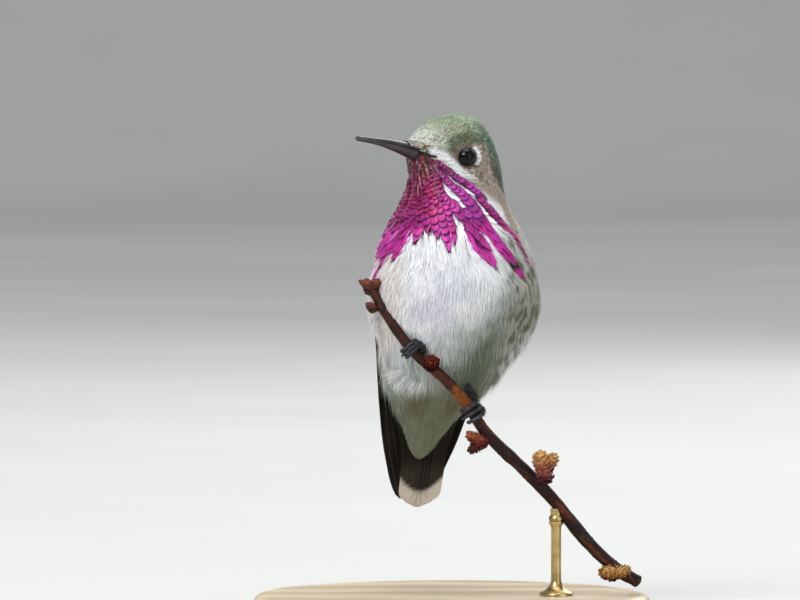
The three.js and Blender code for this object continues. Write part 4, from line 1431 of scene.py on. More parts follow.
def bladeOutline(root, swell, tipStart, power, least):
    # a blade that widens from its root and rounds off from tipStart
    tip = np.maximum(0, (part - tipStart) / (1 - tipStart)) ** power
    return np.minimum(1, root + swell * part) * np.sqrt(np.maximum(least, 1 - tip))


bladeShape = bladeOutline(0.45, 1.4, 0.72, 2.2, 0.004)
tailShape = bladeOutline(0.5, 1.2, 0.88, 3, 0.01)
covertShape = bladeOutline(0.5, 1.6, 0.6, 2, 0.01)
vaneAcross = np.array([-1, -0.9, -0.6, -0.25, -0.04, 0.04, 0.25, 0.6, 0.9, 1])
edgeShade = np.array([1.0, 0.15, 0, 0, 0, 0, 0, 0, 0.15, 1.0])
shaftShade = np.array([0, 0, 0, 0, 1.0, 1.0, 0, 0, 0, 0])


def vaneColours(base, edge, shaft, count, edgeAmount=0.8, shaftAmount=0.7):
    # the colour at every point of each feather: a pale margin and a lighter shaft
    shape = (count, flight["steps"], len(vaneAcross))
    return layered(flightTint, base, (edge, np.broadcast_to(edgeShade * edgeAmount, shape)),
                   (shaft, np.broadcast_to(shaftShade * shaftAmount, shape)))


covertRows = (  # tip along the wing, length, count and lift, and how dusky the three lowest rows are
    (0.46, 0.2, 9, 0.12, (0.75, 0.4, 0.55)), (0.37, 0.16, 9, 0.16, (0.85, 0.6, 0.7)),
    (0.3, 0.14, 8, 0.2, (0.95, 0.8, 0.85)), (0.235, 0.12, 8, 0.22, (1, 1, 1)),
    (0.17, 0.1, 7, 0.22, (1, 1, 1)), (0.11, 0.08, 6, 0.2, (1, 1, 1)), (0.06, 0.055, 4, 0.15, (1, 1, 1)))


def makeWing(side, name):
    draw = np.random.default_rng(61)
    place = partial(wingPlace, side)
    primaries = [longVane(  # the innermost first
        place, (0.2 + 0.012 * k, 0.67 + 0.0366 * k), (-0.75 + 0.153 * k, -1.5 + 0.085 * k),
        (0.0 - 0.04 * k, 0.1 - 0.045 * k), 1.5 - 0.01 * k, bladeShape, 6 if k == 9 else 2.2)
        for k in range(10)]
    shades = vaneColours("dark", "edge", "shaft", 10, 0.5)
    shades[[5, 7], 6:, :2] = flightTint["paleEdge"]
    secondaries = [longVane(place, (0.12, 0.56 - 0.035 * k), (-0.42 - 0.08 * k, -0.52 - 0.09 * k),
                            (0.06 + 0.02 * k, 0.14 + 0.02 * k), 1.3, bladeShape) for k in range(6)]
    blades = joined(name + "_flight_feathers", [
        longVanes(primaries, np.ones((10, 3)), shades),
        longVanes(secondaries, np.ones((6, 3)), vaneColours("dark", "edge", "shaft", 6, 0.7))])
    coverts, colours = [], []
    for row, (tip, length, reach, lift, dusk) in enumerate(covertRows):
        for k in range(reach):
            across = np.linspace(-0.9, 0.36, reach)[k] + draw.normal(0, 0.02)
            shift = 0.035 * (1 - across) * (row < 3)
            coverts.append(longVane(place, (max(0.004, tip - length), tip - shift), (across * 0.95, across),
                                    (lift - 0.35, lift + draw.normal(0, 0.03)), 0.78 - 0.045 * row,
                                    covertShape))
            colours.append(draw.uniform(0.75, 1.2) * np.array(dusk))
    settle(blades, flightFeather, "flight_feathers", name)
    coatPiece(name + "_coverts", greenFeather, longVanes(
        coverts, colours, vaneColours("covert", "covertEdge", "covertShaft", len(coverts), 0.6)))


makeWing(1, "wing_left")
makeWing(-1, "wing_right")
print("wings made")


tail = {"half": 1.15, "white": 18.6, "bowl": 0.2}


def makeTail():
    items, colours = [], []
    for k in range(4, -1, -1):
        for side in (-1, 1):
            tip = 1.0 - 0.007 * k * k
            items.append(longVane(tailPlace, (0.05, tip),
                                  (side * (0.06 + 0.1 * k), side * (0.12 + 0.158 * k)),
                                  (0.2 - 0.1 * k, 0.22 - 0.13 * k + 0.05 * side), tail["half"], tailShape))
            full = vaneColours("tail", "tailEdge", "shaft", 1, 0.02 + 0.03 * k, 0.06)[0]
            run = 0.05 + (tip - 0.05) * part
            # painted sheen: a faint paler grey-brown band down the middle of each tail feather
            pale = ramp(run, 0.5, 0.62) * ramp(run, 0.84, 0.7) * 0.12
            full = mixed(full, flightTint["tailSheen"], np.broadcast_to(pale[:, None], full.shape[:2]))
            # painted shade: each tail feather darker higher up, where it runs under the undertail coverts
            full *= (1 - 0.5 * ramp(items[-1][0][:, 2], 21, 24))[:, None, None]
            line, normals = items[-1][:2]
            aside = unit(np.cross(np.gradient(line, axis=0), normals))
            place = (line[:, None]
                     + aside[:, None] * (tailShape[:, None] * tail["half"] * vaneAcross)[..., None])
            off = place[..., 0] - tailPlace(run, 0 * run, 0 * run)[0][:, None, 0]
            edge = tail["white"] + tail["bowl"] * off**2
            full = mixed(full, flightTint["tip"], ramp(place[..., 2], edge + 0.4, edge - 0.4) * 0.95)
            colours.append(full)
    return joined("tail_feathers", [longVanes(items, np.ones((10, 3)), np.array(colours))])


settle(makeTail(), flightFeather, "flight_feathers", "tail")
print("tail made")


# ---------- Geometry Nodes help
def newTree(name, inputs):
    # the tree, its inputs by name, its result, and a short way to add a node and take its outputs
    tree, given, result = nodeGroup(
        name, "GeometryNodeTree", [("Geometry", "Geometry"), *inputs, ("Material", "Material")],
        [("Geometry", "Geometry")])

    def node(kind, values=None, **settings):
        return addNode(tree, kind, values, **settings).outputs

    return tree, given, result, node


def endTree(tree, given, result, *pieces):
    # the pieces together as realized instances, with the material
    both = tree.nodes.new("GeometryNodeJoinGeometry")
    for piece in pieces:
        tree.links.new(piece, both.inputs[0])
    real = addNode(tree, "GeometryNodeRealizeInstances", {0: both.outputs[0]})
    finished = addNode(tree, "GeometryNodeSetMaterial",
                       {"Geometry": real.outputs[0], "Material": given["Material"]})
    tree.links.new(finished.outputs[0], result.inputs[0])
    return tree


def grown(source, tree, values, name):
    # the tree's result on a source object, as a plain mesh
    change = source.modifiers.new("grow", "NODES")
    change.node_group = tree
    for item in tree.interface.items_tree:
        if item.in_out == "INPUT" and item.name in values:
            change[item.identifier] = values[item.name]
    source.update_tag()
    bpy.context.view_layer.update()
    graph = bpy.context.evaluated_depsgraph_get()
    mesh = bpy.data.meshes.new_from_object(source.evaluated_get(graph))
    source.modifiers.remove(change)
    bpy.data.objects.remove(source)
    mesh.name = name
    for face in mesh.polygons:
        face.use_smooth = True
    print(name, "faces", len(mesh.polygons))
    return placed(name, mesh)


def pathObject(name, paths):
    # poly lines with a thickness at each point, all in millimetres
    curve = bpy.data.curves.new(name, "CURVE")
    curve.dimensions = "3D"
    for points, sizes in paths:
        line = curve.splines.new("POLY")
        line.points.add(len(points) - 1)
        line.points.foreach_set("co", np.hstack([points * mm, np.ones((len(points), 1))]).ravel())
        line.points.foreach_set("radius", np.asarray(sizes) * mm)
    return placed(name, curve)


# ---------- twig
twigPoints = np.array([
    (-12.4, -5.2, 51.4), (-9.3, -6.4, 46.1), (-5.7, -6.6, 41.4), (-1.3, -6.2, 37.6), (1.9, -5.6, 34.0),
    (5.5, -5.2, 28.8), (11.2, -5.0, 23.3), (15.5, -4.9, 18.9), (21.3, -4.8, 11.8), (25.5, -4.7, 7.9),
    (29.3, -4.6, 5.6),
])
twig = {"top": 0.8, "foot": 1.0, "steps": 260, "sides": 30, "ridge": 0.07, "lenticels": 0.7}


def makeTwigTree():
    tree, given, result, node = newTree("bark over a stem", [
        ("Ridge", "Float", 0.0001), ("Sides", "Int", 30), ("Lenticels", "Float", 1.0), ("Seed", "Int", 3)])
    ring = node("GeometryNodeCurvePrimitiveCircle", {"Resolution": given["Sides"], "Radius": 1.0})["Curve"]
    tube = node("GeometryNodeCurveToMesh", {
        "Curve": given["Geometry"], "Profile Curve": ring, "Scale": node("GeometryNodeInputRadius")[0],
        "Fill Caps": True})[0]
    stretch = node("ShaderNodeVectorMath", {0: node("GeometryNodeInputPosition")[0], 1: (1, 1, 0.45)},
                   operation="MULTIPLY")[0]
    rough = node("ShaderNodeTexNoise", {"Vector": stretch, "Scale": 900.0, "Detail": 4.0})["Fac"]
    amount = sumNode(tree, "MULTIPLY", sumNode(tree, "SUBTRACT", rough, 0.5), given["Ridge"])
    push = node("ShaderNodeVectorMath", {0: node("GeometryNodeInputNormal")[0], "Scale": amount},
                operation="SCALE")[0]
    bark = node("GeometryNodeSetPosition", {"Geometry": tube, "Offset": push})[0]
    spots = node("GeometryNodeDistributePointsOnFaces", {
        "Mesh": bark, "Distance Min": 0.0008,
        "Density Max": sumNode(tree, "MULTIPLY", given["Lenticels"], 1.0e6),
        "Seed": given["Seed"]}, distribute_method="POISSON")
    grain = node("GeometryNodeMeshIcoSphere", {"Radius": 0.00016, "Subdivisions": 2})["Mesh"]
    size = node("FunctionNodeRandomValue", {
        "Min": (0.5, 0.5, 0.25), "Max": (1.3, 1.0, 0.5), "Seed": given["Seed"]},
                data_type="FLOAT_VECTOR")["Value"]
    dots = node("GeometryNodeInstanceOnPoints", {
        "Points": spots["Points"], "Rotation": spots["Rotation"], "Instance": grain, "Scale": size})[0]
    return endTree(tree, given, result, dots, bark)


barkTint = linearTints({"red": (68, 32, 22), "dark": (16, 10, 8), "orange": (126, 66, 24),
                        "purple": (36, 17, 18), "grey": (78, 60, 48), "ember": (104, 46, 26)})


def barkColours(points):
    # red-brown above, warmer between the feet, then darker and purple with grey scars
    height = points[:, 2]
    way = unit(twigPoints[-1] - twigPoints[0])
    along = (points @ way)[:, None] * way
    patch, fleck = mottle(points, 2.6, 21), mottle(points - 0.8 * along, 0.55, 22)
    speck, streak = mottle(points - 0.8 * along, 0.25, 23), mottle(points - 0.9 * along, 0.7, 24)
    lower = ramp(height, 32, 29)
    return layered(
        barkTint, "red",
        ("orange", ramp(height, 31, 34) * ramp(height, 41, 38) * ramp(patch, 0.25, 0.6)),
        ("purple", lower * 0.9),
        ("ember", lower * ramp(streak + 0.5 * (patch - 0.5), 0.42, 0.62) * 0.85),
        ("dark", ramp(fleck + 0.3 * (patch - 0.5), 0.5, 0.75) * 0.8),
        ("grey", ramp(speck * 0.6 + fleck * 0.4, 0.62, 0.78) * (0.2 + 0.35 * lower)))


barkMaterial = skinMaterial("red-brown bark", 0.0005, 0.55, 0.5, 0.18)
run = np.linspace(0, 1, twig["steps"])
knuckle = 0.02 * np.cos(run * 48) + 0.015 * np.cos(run * 113)
taper = rounding(np.minimum(run, 1 - run), 0.012, 0.08)
nodes = [0.05, 0.33, 0.56, 0.76, 0.94]
swell = sum(0.07 * np.exp(-(((run - at) / 0.012) ** 2)) for at in nodes)
twigSize = (twig["top"] + (twig["foot"] - twig["top"]) * ramp(run, 0.2, 0.7) + knuckle + swell) * taper
twigPiece = grown(pathObject("twig line", [(curveThrough(twigPoints, run), twigSize)]), makeTwigTree(),
                  {"Ridge": twig["ridge"] * 2 * mm, "Sides": twig["sides"], "Lenticels": twig["lenticels"],
                   "Seed": 5, "Material": barkMaterial}, "twig")
tinted(twigPiece, barkColours(placesOf(twigPiece)))
settle(twigPiece, barkMaterial, "bark", "perch_twig")
print("twig made")


# ---------- feet
def besideTwig(run, angle, distance):
    along = curveWay(twigPoints, run)[0]
    front = unit(np.array([0, -1, 0]) + along * along[1])
    above = np.cross(front, along)
    above = above * (1 if above[2] > 0 else -1)
    angle = math.radians(angle)
    return curveThrough(twigPoints, run)[0] + distance * (above * math.cos(angle) + front * math.sin(angle))


foot = {"grip": 1.3, "toe": 0.36, "ankle": -50, "frontTip": 205, "backTip": -170}
feet = {
    "right": {"run": 0.181, "thigh": np.array([-4.0, -1.4, 42.3]), "spread": 0.0098},
    "left": {"run": 0.435, "thigh": np.array([1.7, -0.4, 37.9]), "spread": 0.016},
}


def ankleOf(leg):
    return besideTwig(leg["run"], foot["ankle"], foot["grip"] + 0.3)


def toePath(leg, offset, tip, steps=40):
    part = np.linspace(0, 1, steps)
    points = [besideTwig(leg["run"] + offset * min(1, p * 3), foot["ankle"] + (tip - foot["ankle"]) * p,
                         foot["grip"] + 0.12 * (1 - p)) for p in part]
    joints = 0.025 * np.cos(part * 2 * math.pi * 3.5)
    return np.array(points), (foot["toe"] * (1 - 0.3 * part) + joints) * rounding(1 - part, 0.05, 0.1)


def clawPath(leg, offset, tip):
    # a curved claw from a toe's end, tapering off the bark
    turn = math.copysign(1, tip)
    part = np.linspace(0, 1, 14)
    points = [besideTwig(leg["run"] + offset * (1 + 0.3 * p), tip - turn * 8 + turn * 48 * p,
                         foot["grip"] + 0.05 + 0.5 * math.sin(p * 2.4)) for p in part]
    return np.array(points), 0.24 * (1 - part) ** 0.8 + 0.02


def makeScuteTree():
    # a scaly toe: a tube along each path with a raised ring at every step
    tree, given, result, node = newTree("scaly toe", [("Spacing", "Float", 0.0003), ("Ring", "Float", 0.2)])

    def circle(corners, radius):
        return node("GeometryNodeCurvePrimitiveCircle", {"Resolution": corners, "Radius": radius})["Curve"]

    size = node("GeometryNodeInputRadius")[0]
    tube = node("GeometryNodeCurveToMesh", {
        "Curve": given["Geometry"], "Profile Curve": circle(14, 1.0), "Scale": size, "Fill Caps": True})[0]
    ring = node("GeometryNodeCurveToMesh", {"Curve": circle(14, 0.98),
                                            "Profile Curve": circle(6, given["Ring"])})[0]
    points = node("GeometryNodeResampleCurve", {"Curve": given["Geometry"], "Length": given["Spacing"]},
                  mode="LENGTH")[0]
    turn = node("FunctionNodeAlignRotationToVector", {"Vector": node("GeometryNodeInputTangent")[0]},
                axis="Z")[0]
    rings = node("GeometryNodeInstanceOnPoints", {
        "Points": points, "Instance": ring, "Rotation": turn, "Scale": size})[0]
    return endTree(tree, given, result, rings, tube)


scaleMaterial = hardMaterial("scaly foot", (22, 21, 28), (74, 75, 92), size=0.0006, low=0.4, high=0.8,
                             relief=0.4, roughness=0.45, specular=0.4)
clawMaterial = hardMaterial("horn claw", (14, 12, 13), (46, 40, 40), size=0.0008, relief=0.1, roughness=0.3)
scuteTree = makeScuteTree()
for name, leg in feet.items():
    share = np.linspace(0, 1, 24)[:, None]
    shank = ankleOf(leg) + (leg["thigh"] - ankleOf(leg)) * share
    toes = [*((k * leg["spread"], foot["frontTip"]) for k in (-1, 0, 1)), (0, foot["backTip"])]
    paths = [(shank, 0.42 + 0.35 * share[:, 0] ** 2), *(toePath(leg, *toe) for toe in toes)]
    claws = [clawPath(leg, *toe) for toe in toes]
    for label, lines, spacing, ring, material, nodes in (
            ("foot_", paths, 0.3, 0.17, scaleMaterial, ["leg_" + name]),
            ("claws_", claws, 50, 0.05, clawMaterial, [])):
        made = grown(pathObject(label + "lines", lines), scuteTree,
                     {"Spacing": spacing * mm, "Ring": ring, "Material": material}, label + name)
        settle(made, material, "foot", *nodes)
print("feet made")


# ---------- leg tufts and loose fluff
def tuft(centre, way, spread, length, count, half, colour, seed, curl=0.3, fan=0.7, vary=0.35):
    # thin barbs that start round a place and hang along a way
    draw = np.random.default_rng(seed)
    way = unit(np.asarray(way, float))
    across = unit(np.cross(way, [0.2, 0.9, 0.3]))
    other = np.cross(way, across)
    angle = draw.uniform(0, 2 * math.pi, count)
    outward = np.cos(angle)[:, None] * across + np.sin(angle)[:, None] * other
    reach = spread * np.sqrt(draw.random(count))[:, None]
    roots = np.asarray(centre) + outward * reach + way * draw.uniform(-0.3, 0.5, (count, 1))
    heading = unit(way + outward * draw.uniform(0.0, fan, (count, 1)) + draw.normal(0, 0.1, (count, 3)))
    steps = np.linspace(0, 1, 6)[None, :, None]
    long = (length * draw.uniform(0.6, 1.1, count))[:, None, None]
    line = roots[:, None] + heading[:, None] * steps * long
    line = line + (outward[:, None] * curl + way * 0.3) * long * steps**2 * 0.5
    along = unit(np.gradient(line, axis=1))
    normals = np.broadcast_to(outward[:, None], line.shape)
    normals = unit(normals - along * (normals * along).sum(axis=2, keepdims=True))
    tone = np.asarray(colour) * draw.uniform(1 - vary, 1 + 0.8 * vary, (count, 1))
    form = {"outline": [0.6, 1.0, 1.0, 0.8, 0.5, 0.1], "across": [-1, 1], "rise": np.zeros(6), "camber": 0}
    return vanes(line, normals, half * draw.uniform(0.7, 1.3, count), form, tone)


def fringe(x, height, way, length, count, colour, seed, spread=0.8):
    # a loose lock that starts on the coat and stands off its edge
    spot = frontView(x, height)
    return tuft(spot - 0.45 * lie(spot[None])[1][0], way, spread, length, count, 0.032, colour, seed, 0.1,
                0.28, 0.1)


tufts = []
for leg, rgb, shift, bristles, spots in (  # spots: share of the shank, spread, length and count
        (feet["right"], (50, 44, 36), (0, 0, 0), 6, ((0.35, 0.7, 1.6, 160), (0.12, 0.55, 1.3, 150))),
        (feet["left"], (42, 40, 34), (-0.7, 0, 0.3), 3,
         ((0.55, 0.8, 2.0, 200), (0.3, 0.75, 1.7, 200), (0.1, 0.6, 1.3, 160)))):
    colour = linear(rgb)
    ankle = ankleOf(leg) + np.array(shift)
    for share, spread, long, count in spots:
        tufts.append(tuft(ankle + (leg["thigh"] - ankle) * share, ankle - leg["thigh"], spread, long,
                          count, 0.06, colour, 71 + int(share * 100)))
    # the dark bristles are partly real and partly painted shade under the belly feathers beside the foot
    for k in range(bristles):  # over the roots of the toes and beside the foot
        root = besideTwig(leg["run"] - 0.006 + 0.005 * k, -35 + 18 * (k % 3), foot["grip"] + 0.4)
        tufts.append(tuft(root, (-0.1, -0.45, -0.85), 0.45, 1.1, 100, 0.05, colour, 90 + k, 0.1, 0.4))
coatPiece("leg_tufts", softFeather, *tufts)
fluffs = []
for k, (x, height, way, length, count, spread) in enumerate((
        (-7.4, 38.3, (-0.9, -0.1, -0.35), 3.2, 60, 0.6), (-7.0, 37.5, (-0.65, -0.1, -0.7), 2.8, 70, 0.7),
        (-6.0, 37.1, (-0.4, -0.1, -0.9), 2.2, 60, 0.8), (-4.6, 36.6, (-0.2, -0.1, -1), 1.7, 50, 1.0),
        (-11.9, 46.8, (-0.2, 0, -1), 2.0, 50, 0.8), (-11.7, 45.4, (-0.15, 0, -1), 2.0, 50, 0.8),
        (12.0, 44.6, (0.05, 0, -1), 2.2, 60, 0.7), (10.9, 43.0, (0.05, 0, -1), 2.2, 60, 0.7),
        (9.4, 41.4, (0, 0, -1), 2.0, 50, 0.7), (7.9, 39.8, (0, 0, -1), 2.0, 60, 0.7))):
    fluffs.append(fringe(x, height, way, length, count, tint["malar"] * 0.85, 101 + k, spread))
coatPiece("flank_tufts", softFeather, *fluffs)
print("leg tufts made")


# ---------- buds
buds = {  # lobes: place, way, length, width and narrowing; tints from the lowest scales to their tips, from a
    # lower height to an upper one; open: how far the scales stand off
    "perch_knob": {
        "lobes": [((-12.9, -4.6, 51.6), (-0.4, -0.2, 1), 1.35, 0.95, 0.1),
                  ((-11.9, -5.3, 52.0), (0.5, -0.5, 0.9), 1.1, 0.8, 0.15),
                  ((-13.7, -4.7, 52.3), (-0.9, -0.1, 0.5), 0.9, 0.5, 0.3)],
        "tints": ((46, 18, 16), (98, 42, 30), (140, 74, 52)), "heights": (50.8, 52.8), "open": 0.2},
    "perch_bud_side": {
        "lobes": [((-12.5, -6.0, 48.6), (-0.9, -0.2, 0.7), 1.0, 0.75, 0.3)],
        "tints": ((52, 22, 18), (104, 46, 32), (150, 84, 56)), "heights": (48, 49.8), "open": 0.2},
    "perch_bud_front": {
        "lobes": [((-3.3, -7.5, 40.0), (-0.1, -1, 0.3), 1.15, 1.2, 0.2)],
        "tints": ((56, 16, 16), (130, 42, 32), (172, 84, 54)), "heights": (39.2, 41.2), "open": 0.4},
    "perch_bud_lower": {
        "lobes": [((4.0, -6.0, 27.9), (-0.75, -0.3, 0.5), 2.0, 0.95, 0.35),
                  ((3.7, -5.8, 26.9), (-0.7, -0.2, -0.5), 1.3, 0.8, 0.35)],
        "tints": ((58, 18, 20), (130, 48, 38), (190, 112, 66)), "heights": (26.2, 28.8), "open": 0.7},
    "perch_bud_orange": {
        "lobes": [((14.4, -5.8, 22.6), (0.1, -0.3, 1), 1.7, 1.25, 0.1),
                  ((14.0, -6.1, 24.3), (-0.25, -0.4, 1), 1.7, 1.25, -0.1),
                  ((15.4, -5.9, 24.6), (0.5, -0.3, 0.8), 1.2, 0.9, 0.0)],
        "tints": ((88, 30, 46), (194, 112, 84), (232, 184, 108)), "heights": (21.8, 25.4), "open": 0.75},
    "perch_bud_low": {
        "lobes": [((24.7, -5.5, 7.2), (-0.7, -0.5, 0.1), 1.8, 1.1, 0.15),
                  ((26.4, -5.9, 7.4), (0.8, -0.5, 0.4), 1.3, 0.9, 0.2)],
        "tints": ((120, 70, 38), (204, 148, 84), (236, 194, 122)), "heights": (6, 8.4), "open": 0.6},
}


def makeBudTree():
    # overlapping scales in a spiral over an egg, with the tip along +Z
    tree, given, result, node = newTree("bud scales", [
        ("Scale Piece", "Object"), ("Long", "Float", 0.001), ("Wide", "Float", 0.001),
        ("Narrowing", "Float", 0.2), ("Count", "Int", 24), ("Size", "Float", 1.0), ("Open", "Float", 0.0),
        ("Seed", "Int", 1)])
    add, take, times, over, sine, cosine = (
        partial(sumNode, tree, kind) for kind in ("ADD", "SUBTRACT", "MULTIPLY", "DIVIDE", "SINE", "COSINE"))
    index = node("GeometryNodeInputIndex")[0]
    polar = add(times(take(1.0, over(index, given["Count"])), 2.3), 0.32)
    angle = times(index, 2.39996)
    tall = cosine(polar)
    reach = times(times(given["Wide"], sine(polar)), take(1.0, times(given["Narrowing"], tall)))
    spot = node("ShaderNodeCombineXYZ", {
        "X": times(reach, cosine(angle)), "Y": times(reach, sine(angle)), "Z": times(given["Long"], tall)})[0]
    outward = node("ShaderNodeCombineXYZ", {
        "X": times(cosine(angle), sine(polar)), "Y": times(sine(angle), sine(polar)),
        "Z": take(times(tall, 0.6), given["Open"])})[0]
    face = node("FunctionNodeAlignRotationToVector", {"Vector": outward}, axis="Z")[0]
    rise = node("FunctionNodeAlignRotationToVector", {"Rotation": face, "Vector": (0, 0, 1)},
                axis="Y", pivot_axis="Z")[0]
    points = node("GeometryNodeMeshLine", {"Count": given["Count"]})[0]
    place = node("GeometryNodeSetPosition", {"Geometry": points, "Position": spot})[0]
    piece = node("GeometryNodeObjectInfo", {"Object": given["Scale Piece"]})["Geometry"]
    vary = node("FunctionNodeRandomValue", {2: 0.85, 3: 1.15, "Seed": given["Seed"]})[1]
    scales = node("GeometryNodeInstanceOnPoints", {
        "Points": place, "Instance": piece, "Rotation": rise, "Scale": times(vary, given["Size"])})[0]
    return endTree(tree, given, result, scales, given["Geometry"])


def budScale():
    # one cupped scale, a millimetre long, with its tip along +Y and its back to +Z
    rows = [(0.0, 0.42), (0.3, 0.5), (0.6, 0.44), (0.85, 0.26), (1.0, 0.05)]
    across = np.linspace(-1, 1, 5)
    top = np.array([(w * a, y - 0.35, 0.14 + 0.1 * y - 0.28 * w * a * a - 0.1 * y**3) for y, w in rows
                    for a in across])
    bottom = top - np.array([0, 0, 0.05])
    faces = [(k * 5 + m, k * 5 + m + 1, k * 5 + m + 6, k * 5 + m + 5) for k in range(4) for m in range(4)]
    below = [tuple(25 + i for i in reversed(f)) for f in faces]
    loop = [0, 1, 2, 3, 4, 9, 14, 19, 24, 23, 22, 21, 20, 15, 10, 5]
    walls = [(b, a, a + 25, b + 25) for a, b in zip(loop, loop[1:] + loop[:1])]
    return meshObject("bud scale", np.vstack([top, bottom]), np.array(faces + below + walls))


def eggMesh(name, long, wide, narrowing):
    polar = np.linspace(0, math.pi, 17)
    reach = wide * np.sin(polar) * (1 - narrowing * np.cos(polar))
    return meshObject(name, *roundSolid(np.zeros(3), upward, 24, reach, long * np.cos(polar)))


def budColours(bud, points):
    low, middle, tip = (linear(rgb) for rgb in bud["tints"])
    start, end = bud["heights"]
    fleck, speck = mottle(points, 0.5, 31), mottle(points, 0.22, 32)
    height = points[:, 2] + 0.8 * (fleck - 0.5)
    colour = mixed(low, middle, ramp(height, start, (start + end) / 2))
    colour = mixed(colour, tip, ramp(height, (start + end) / 2, end) * 0.8)
    return mixed(colour, low, ramp(speck, 0.5, 0.75) * 0.55)


budMaterial = skinMaterial("papery bud scales", 0.0004, 0.6, 0.5, 0.35)
budTree = makeBudTree()
scalePiece = budScale()
for name, bud in buds.items():
    made = []
    for at, way, long, wide, narrowing in bud["lobes"]:
        core = eggMesh("bud core", long * 0.93, wide * 0.9, narrowing)
        lobe = grown(core, budTree, {
            "Scale Piece": scalePiece, "Long": long * 0.86 * mm, "Wide": wide * 0.82 * mm,
            "Narrowing": narrowing, "Count": 34, "Size": 0.62 * wide + 0.25 * long, "Open": bud["open"],
            "Seed": 4, "Material": budMaterial}, name)
        turn = Vector((0, 0, 1)).rotation_difference(Vector(way)).to_matrix().to_4x4()
        turn.translation = Vector(at) * mm
        lobe.data.transform(turn)
        made.append(lobe)
    if len(made) > 1:
        bpy.context.view_layer.update()
        with bpy.context.temp_override(active_object=made[0], selected_editable_objects=made, object=made[0]):
            bpy.ops.object.join()
    made[0].name = name + "_scales"
    tinted(made[0], budColours(bud, placesOf(made[0])))
    settle(made[0], budMaterial, "bud", name)
bpy.data.objects.remove(scalePiece)
print("buds made")


# ---------- stand
stand = {"rodAt": (16.2, -4.9), "sides": 192}


def arc(x, z, wide, tall, start, end, count):
    # profile points on a part of an oval
    angles = np.linspace(start, end, count) * math.pi
    return [(x + wide * math.cos(a), z + tall * math.sin(a)) for a in angles]


def turnedSolid(name, profile, middle, sides):
    radius, height = np.array(profile)[::-1].T
    made = meshObject(name, *roundSolid(np.array([*middle, 0.0]), upward, sides, radius, height))
    weld(made)
    made.data.set_sharp_from_angle(angle=math.radians(38))
    return made


def woodMaterial():
    made = newMaterial("pale turned wood", roughness=0.42, specular=0.4, coat=0.15, coatRoughness=0.3)
    tree = made[1]
    where = addNode(tree, "ShaderNodeTexCoord").outputs["Object"]
    stretch = addNode(tree, "ShaderNodeMapping", {"Vector": where, "Scale": (30, 420, 420)})
    grain = addNode(tree, "ShaderNodeTexNoise", {
        "Vector": stretch.outputs[0], "Scale": 1.0, "Detail": 5.0, "Distortion": 0.6}).outputs
    rings = addNode(tree, "ShaderNodeTexWave", {
        "Vector": where, "Scale": 22.0, "Distortion": 5.0, "Detail": 3.0, "Detail Scale": 1.2,
    }, wave_type="BANDS", bands_direction="Y")
    tone = blend(tree, rings.outputs["Fac"], (*linear((196, 172, 138)), 1), (*linear((222, 204, 174)), 1))
    return finish(made, blend(tree, 0.35, tone, grain["Color"], "MULTIPLY"), grain["Fac"], 0.15)


baseProfile = [
    (0, 0), (20, 0), (31.0, 0), *arc(31.5, 0.5, 0.5, 0.5, -0.5, 0, 6), (32, 1.2),
    *arc(31.6, 1.4, 0.4, 0.4, 0, 0.5, 5), (31.35, 1.85), (31.25, 2.05),
    *arc(29.4, 2.15, 1.7, 1.45, 0.1 / math.pi, 0.5, 9),
    (28.2, 3.6), (28.0, 3.52), (27.8, 3.52), (27.6, 3.6), (14, 3.6), (0, 3.6)]
settle(turnedSolid("base", baseProfile, (0, 0), stand["sides"]), woodMaterial(), "stand_wood", "stand_base")
rodProfile = [
    (0, 3.55), (2.6, 3.55), (2.6, 4.0), (2.5, 4.15), (2.1, 4.3), (1.6, 4.6), (1.25, 5.0), (1.0, 5.4),
    (0.85, 5.7), (0.8, 6.1), (0.8, 14.3), (0.86, 14.5), (1.1, 14.75), (1.15, 15.0), (1.15, 15.2),
    (1.02, 15.32), (1.15, 15.45), (1.15, 15.8), (1.02, 16.05), (0.9, 16.2), (0.9, 17.25), (0, 17.25)]
brass = hardMaterial("brushed brass", (176, 150, 96), (206, 184, 132), size=0.002, relief=0.08, depth=0.00003,
                     roughness=0.3, metallic=1.0)
settle(turnedSolid("rod", rodProfile, stand["rodAt"], 48), brass, "stand_metal", "stand_rod")
print("stand made")


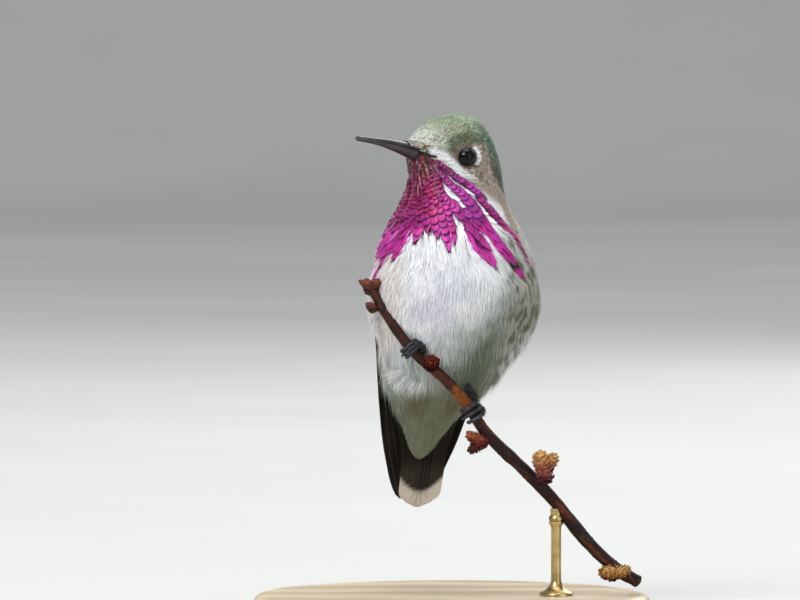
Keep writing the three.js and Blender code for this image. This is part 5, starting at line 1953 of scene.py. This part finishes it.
# ---------- camera, light and floor
camera = placed("camera", bpy.data.cameras.new("camera"))
view = {"aim": (-8.125, 0, 49.56), "distance": 1200, "tilt": 2, "width": 125}
tilt = math.radians(view["tilt"])
camera.location = (Vector(view["aim"]) * mm
                   + Vector((0, -math.cos(tilt), math.sin(tilt))) * view["distance"] * mm)
camera.rotation_euler = (math.pi / 2 - tilt, 0, 0)
camera.data.sensor_width = 36
camera.data.lens = 36 * view["distance"] / view["width"]
camera.data.clip_start = 0.1
camera.data.clip_end = 20
bpy.context.scene.camera = camera
bpy.context.scene.view_settings.view_transform = "Standard"

lamps = {  # place in metres, size, power
    "key": ((-0.45, -0.75, 0.75), 0.5, 8.4),
    "fill": ((0.75, -0.65, 0.3), 0.8, 2.2),
    "top": ((0.0, 0.1, 0.95), 0.7, 3.2),
    "rim": ((0.4, 0.75, 0.5), 0.5, 3.0),
    "room": ((0.0, 0.0, 3.2), 3.0, 42),
}
for name, (place, size, power) in lamps.items():
    data = bpy.data.lights.new(name, "AREA")
    data.size = size
    data.energy = power
    lamp = placed(name, data)
    lamp.location = place
    lamp.rotation_euler = (Vector((0, 0, 0.05)) - Vector(place)).to_track_quat("-Z", "Y").to_euler()
world = bpy.data.worlds.new("studio")
world.use_nodes = True
world.node_tree.nodes["Background"].inputs["Color"].default_value = (0.86, 0.9, 0.95, 1)
world.node_tree.nodes["Background"].inputs["Strength"].default_value = 0.5
bpy.context.scene.world = world


def makeFloor():
    # a pale floor that curves up into a low wall far out, all the way round
    profile = [(0.05, 0), *((r, 0) for r in (200, 600, 1200, 2000, 2600)),
               *arc(2600, 700, 700, 700, -0.5, 0, 16)[1:], (3300, 1500)]
    angle = np.linspace(0, 2 * math.pi, 96, endpoint=False)
    points = np.array([(r * math.cos(a), r * math.sin(a), z) for r, z in profile for a in angle])
    return meshObject("floor", points, ringQuads(len(profile), 96))


floor = makeFloor()
floor.data.materials.append(hardMaterial("pale floor", (196, 197, 194), (202, 203, 200), size=0.3,
                                         relief=0.02, roughness=0.8, specular=0.2))

bpy.context.view_layer.update()
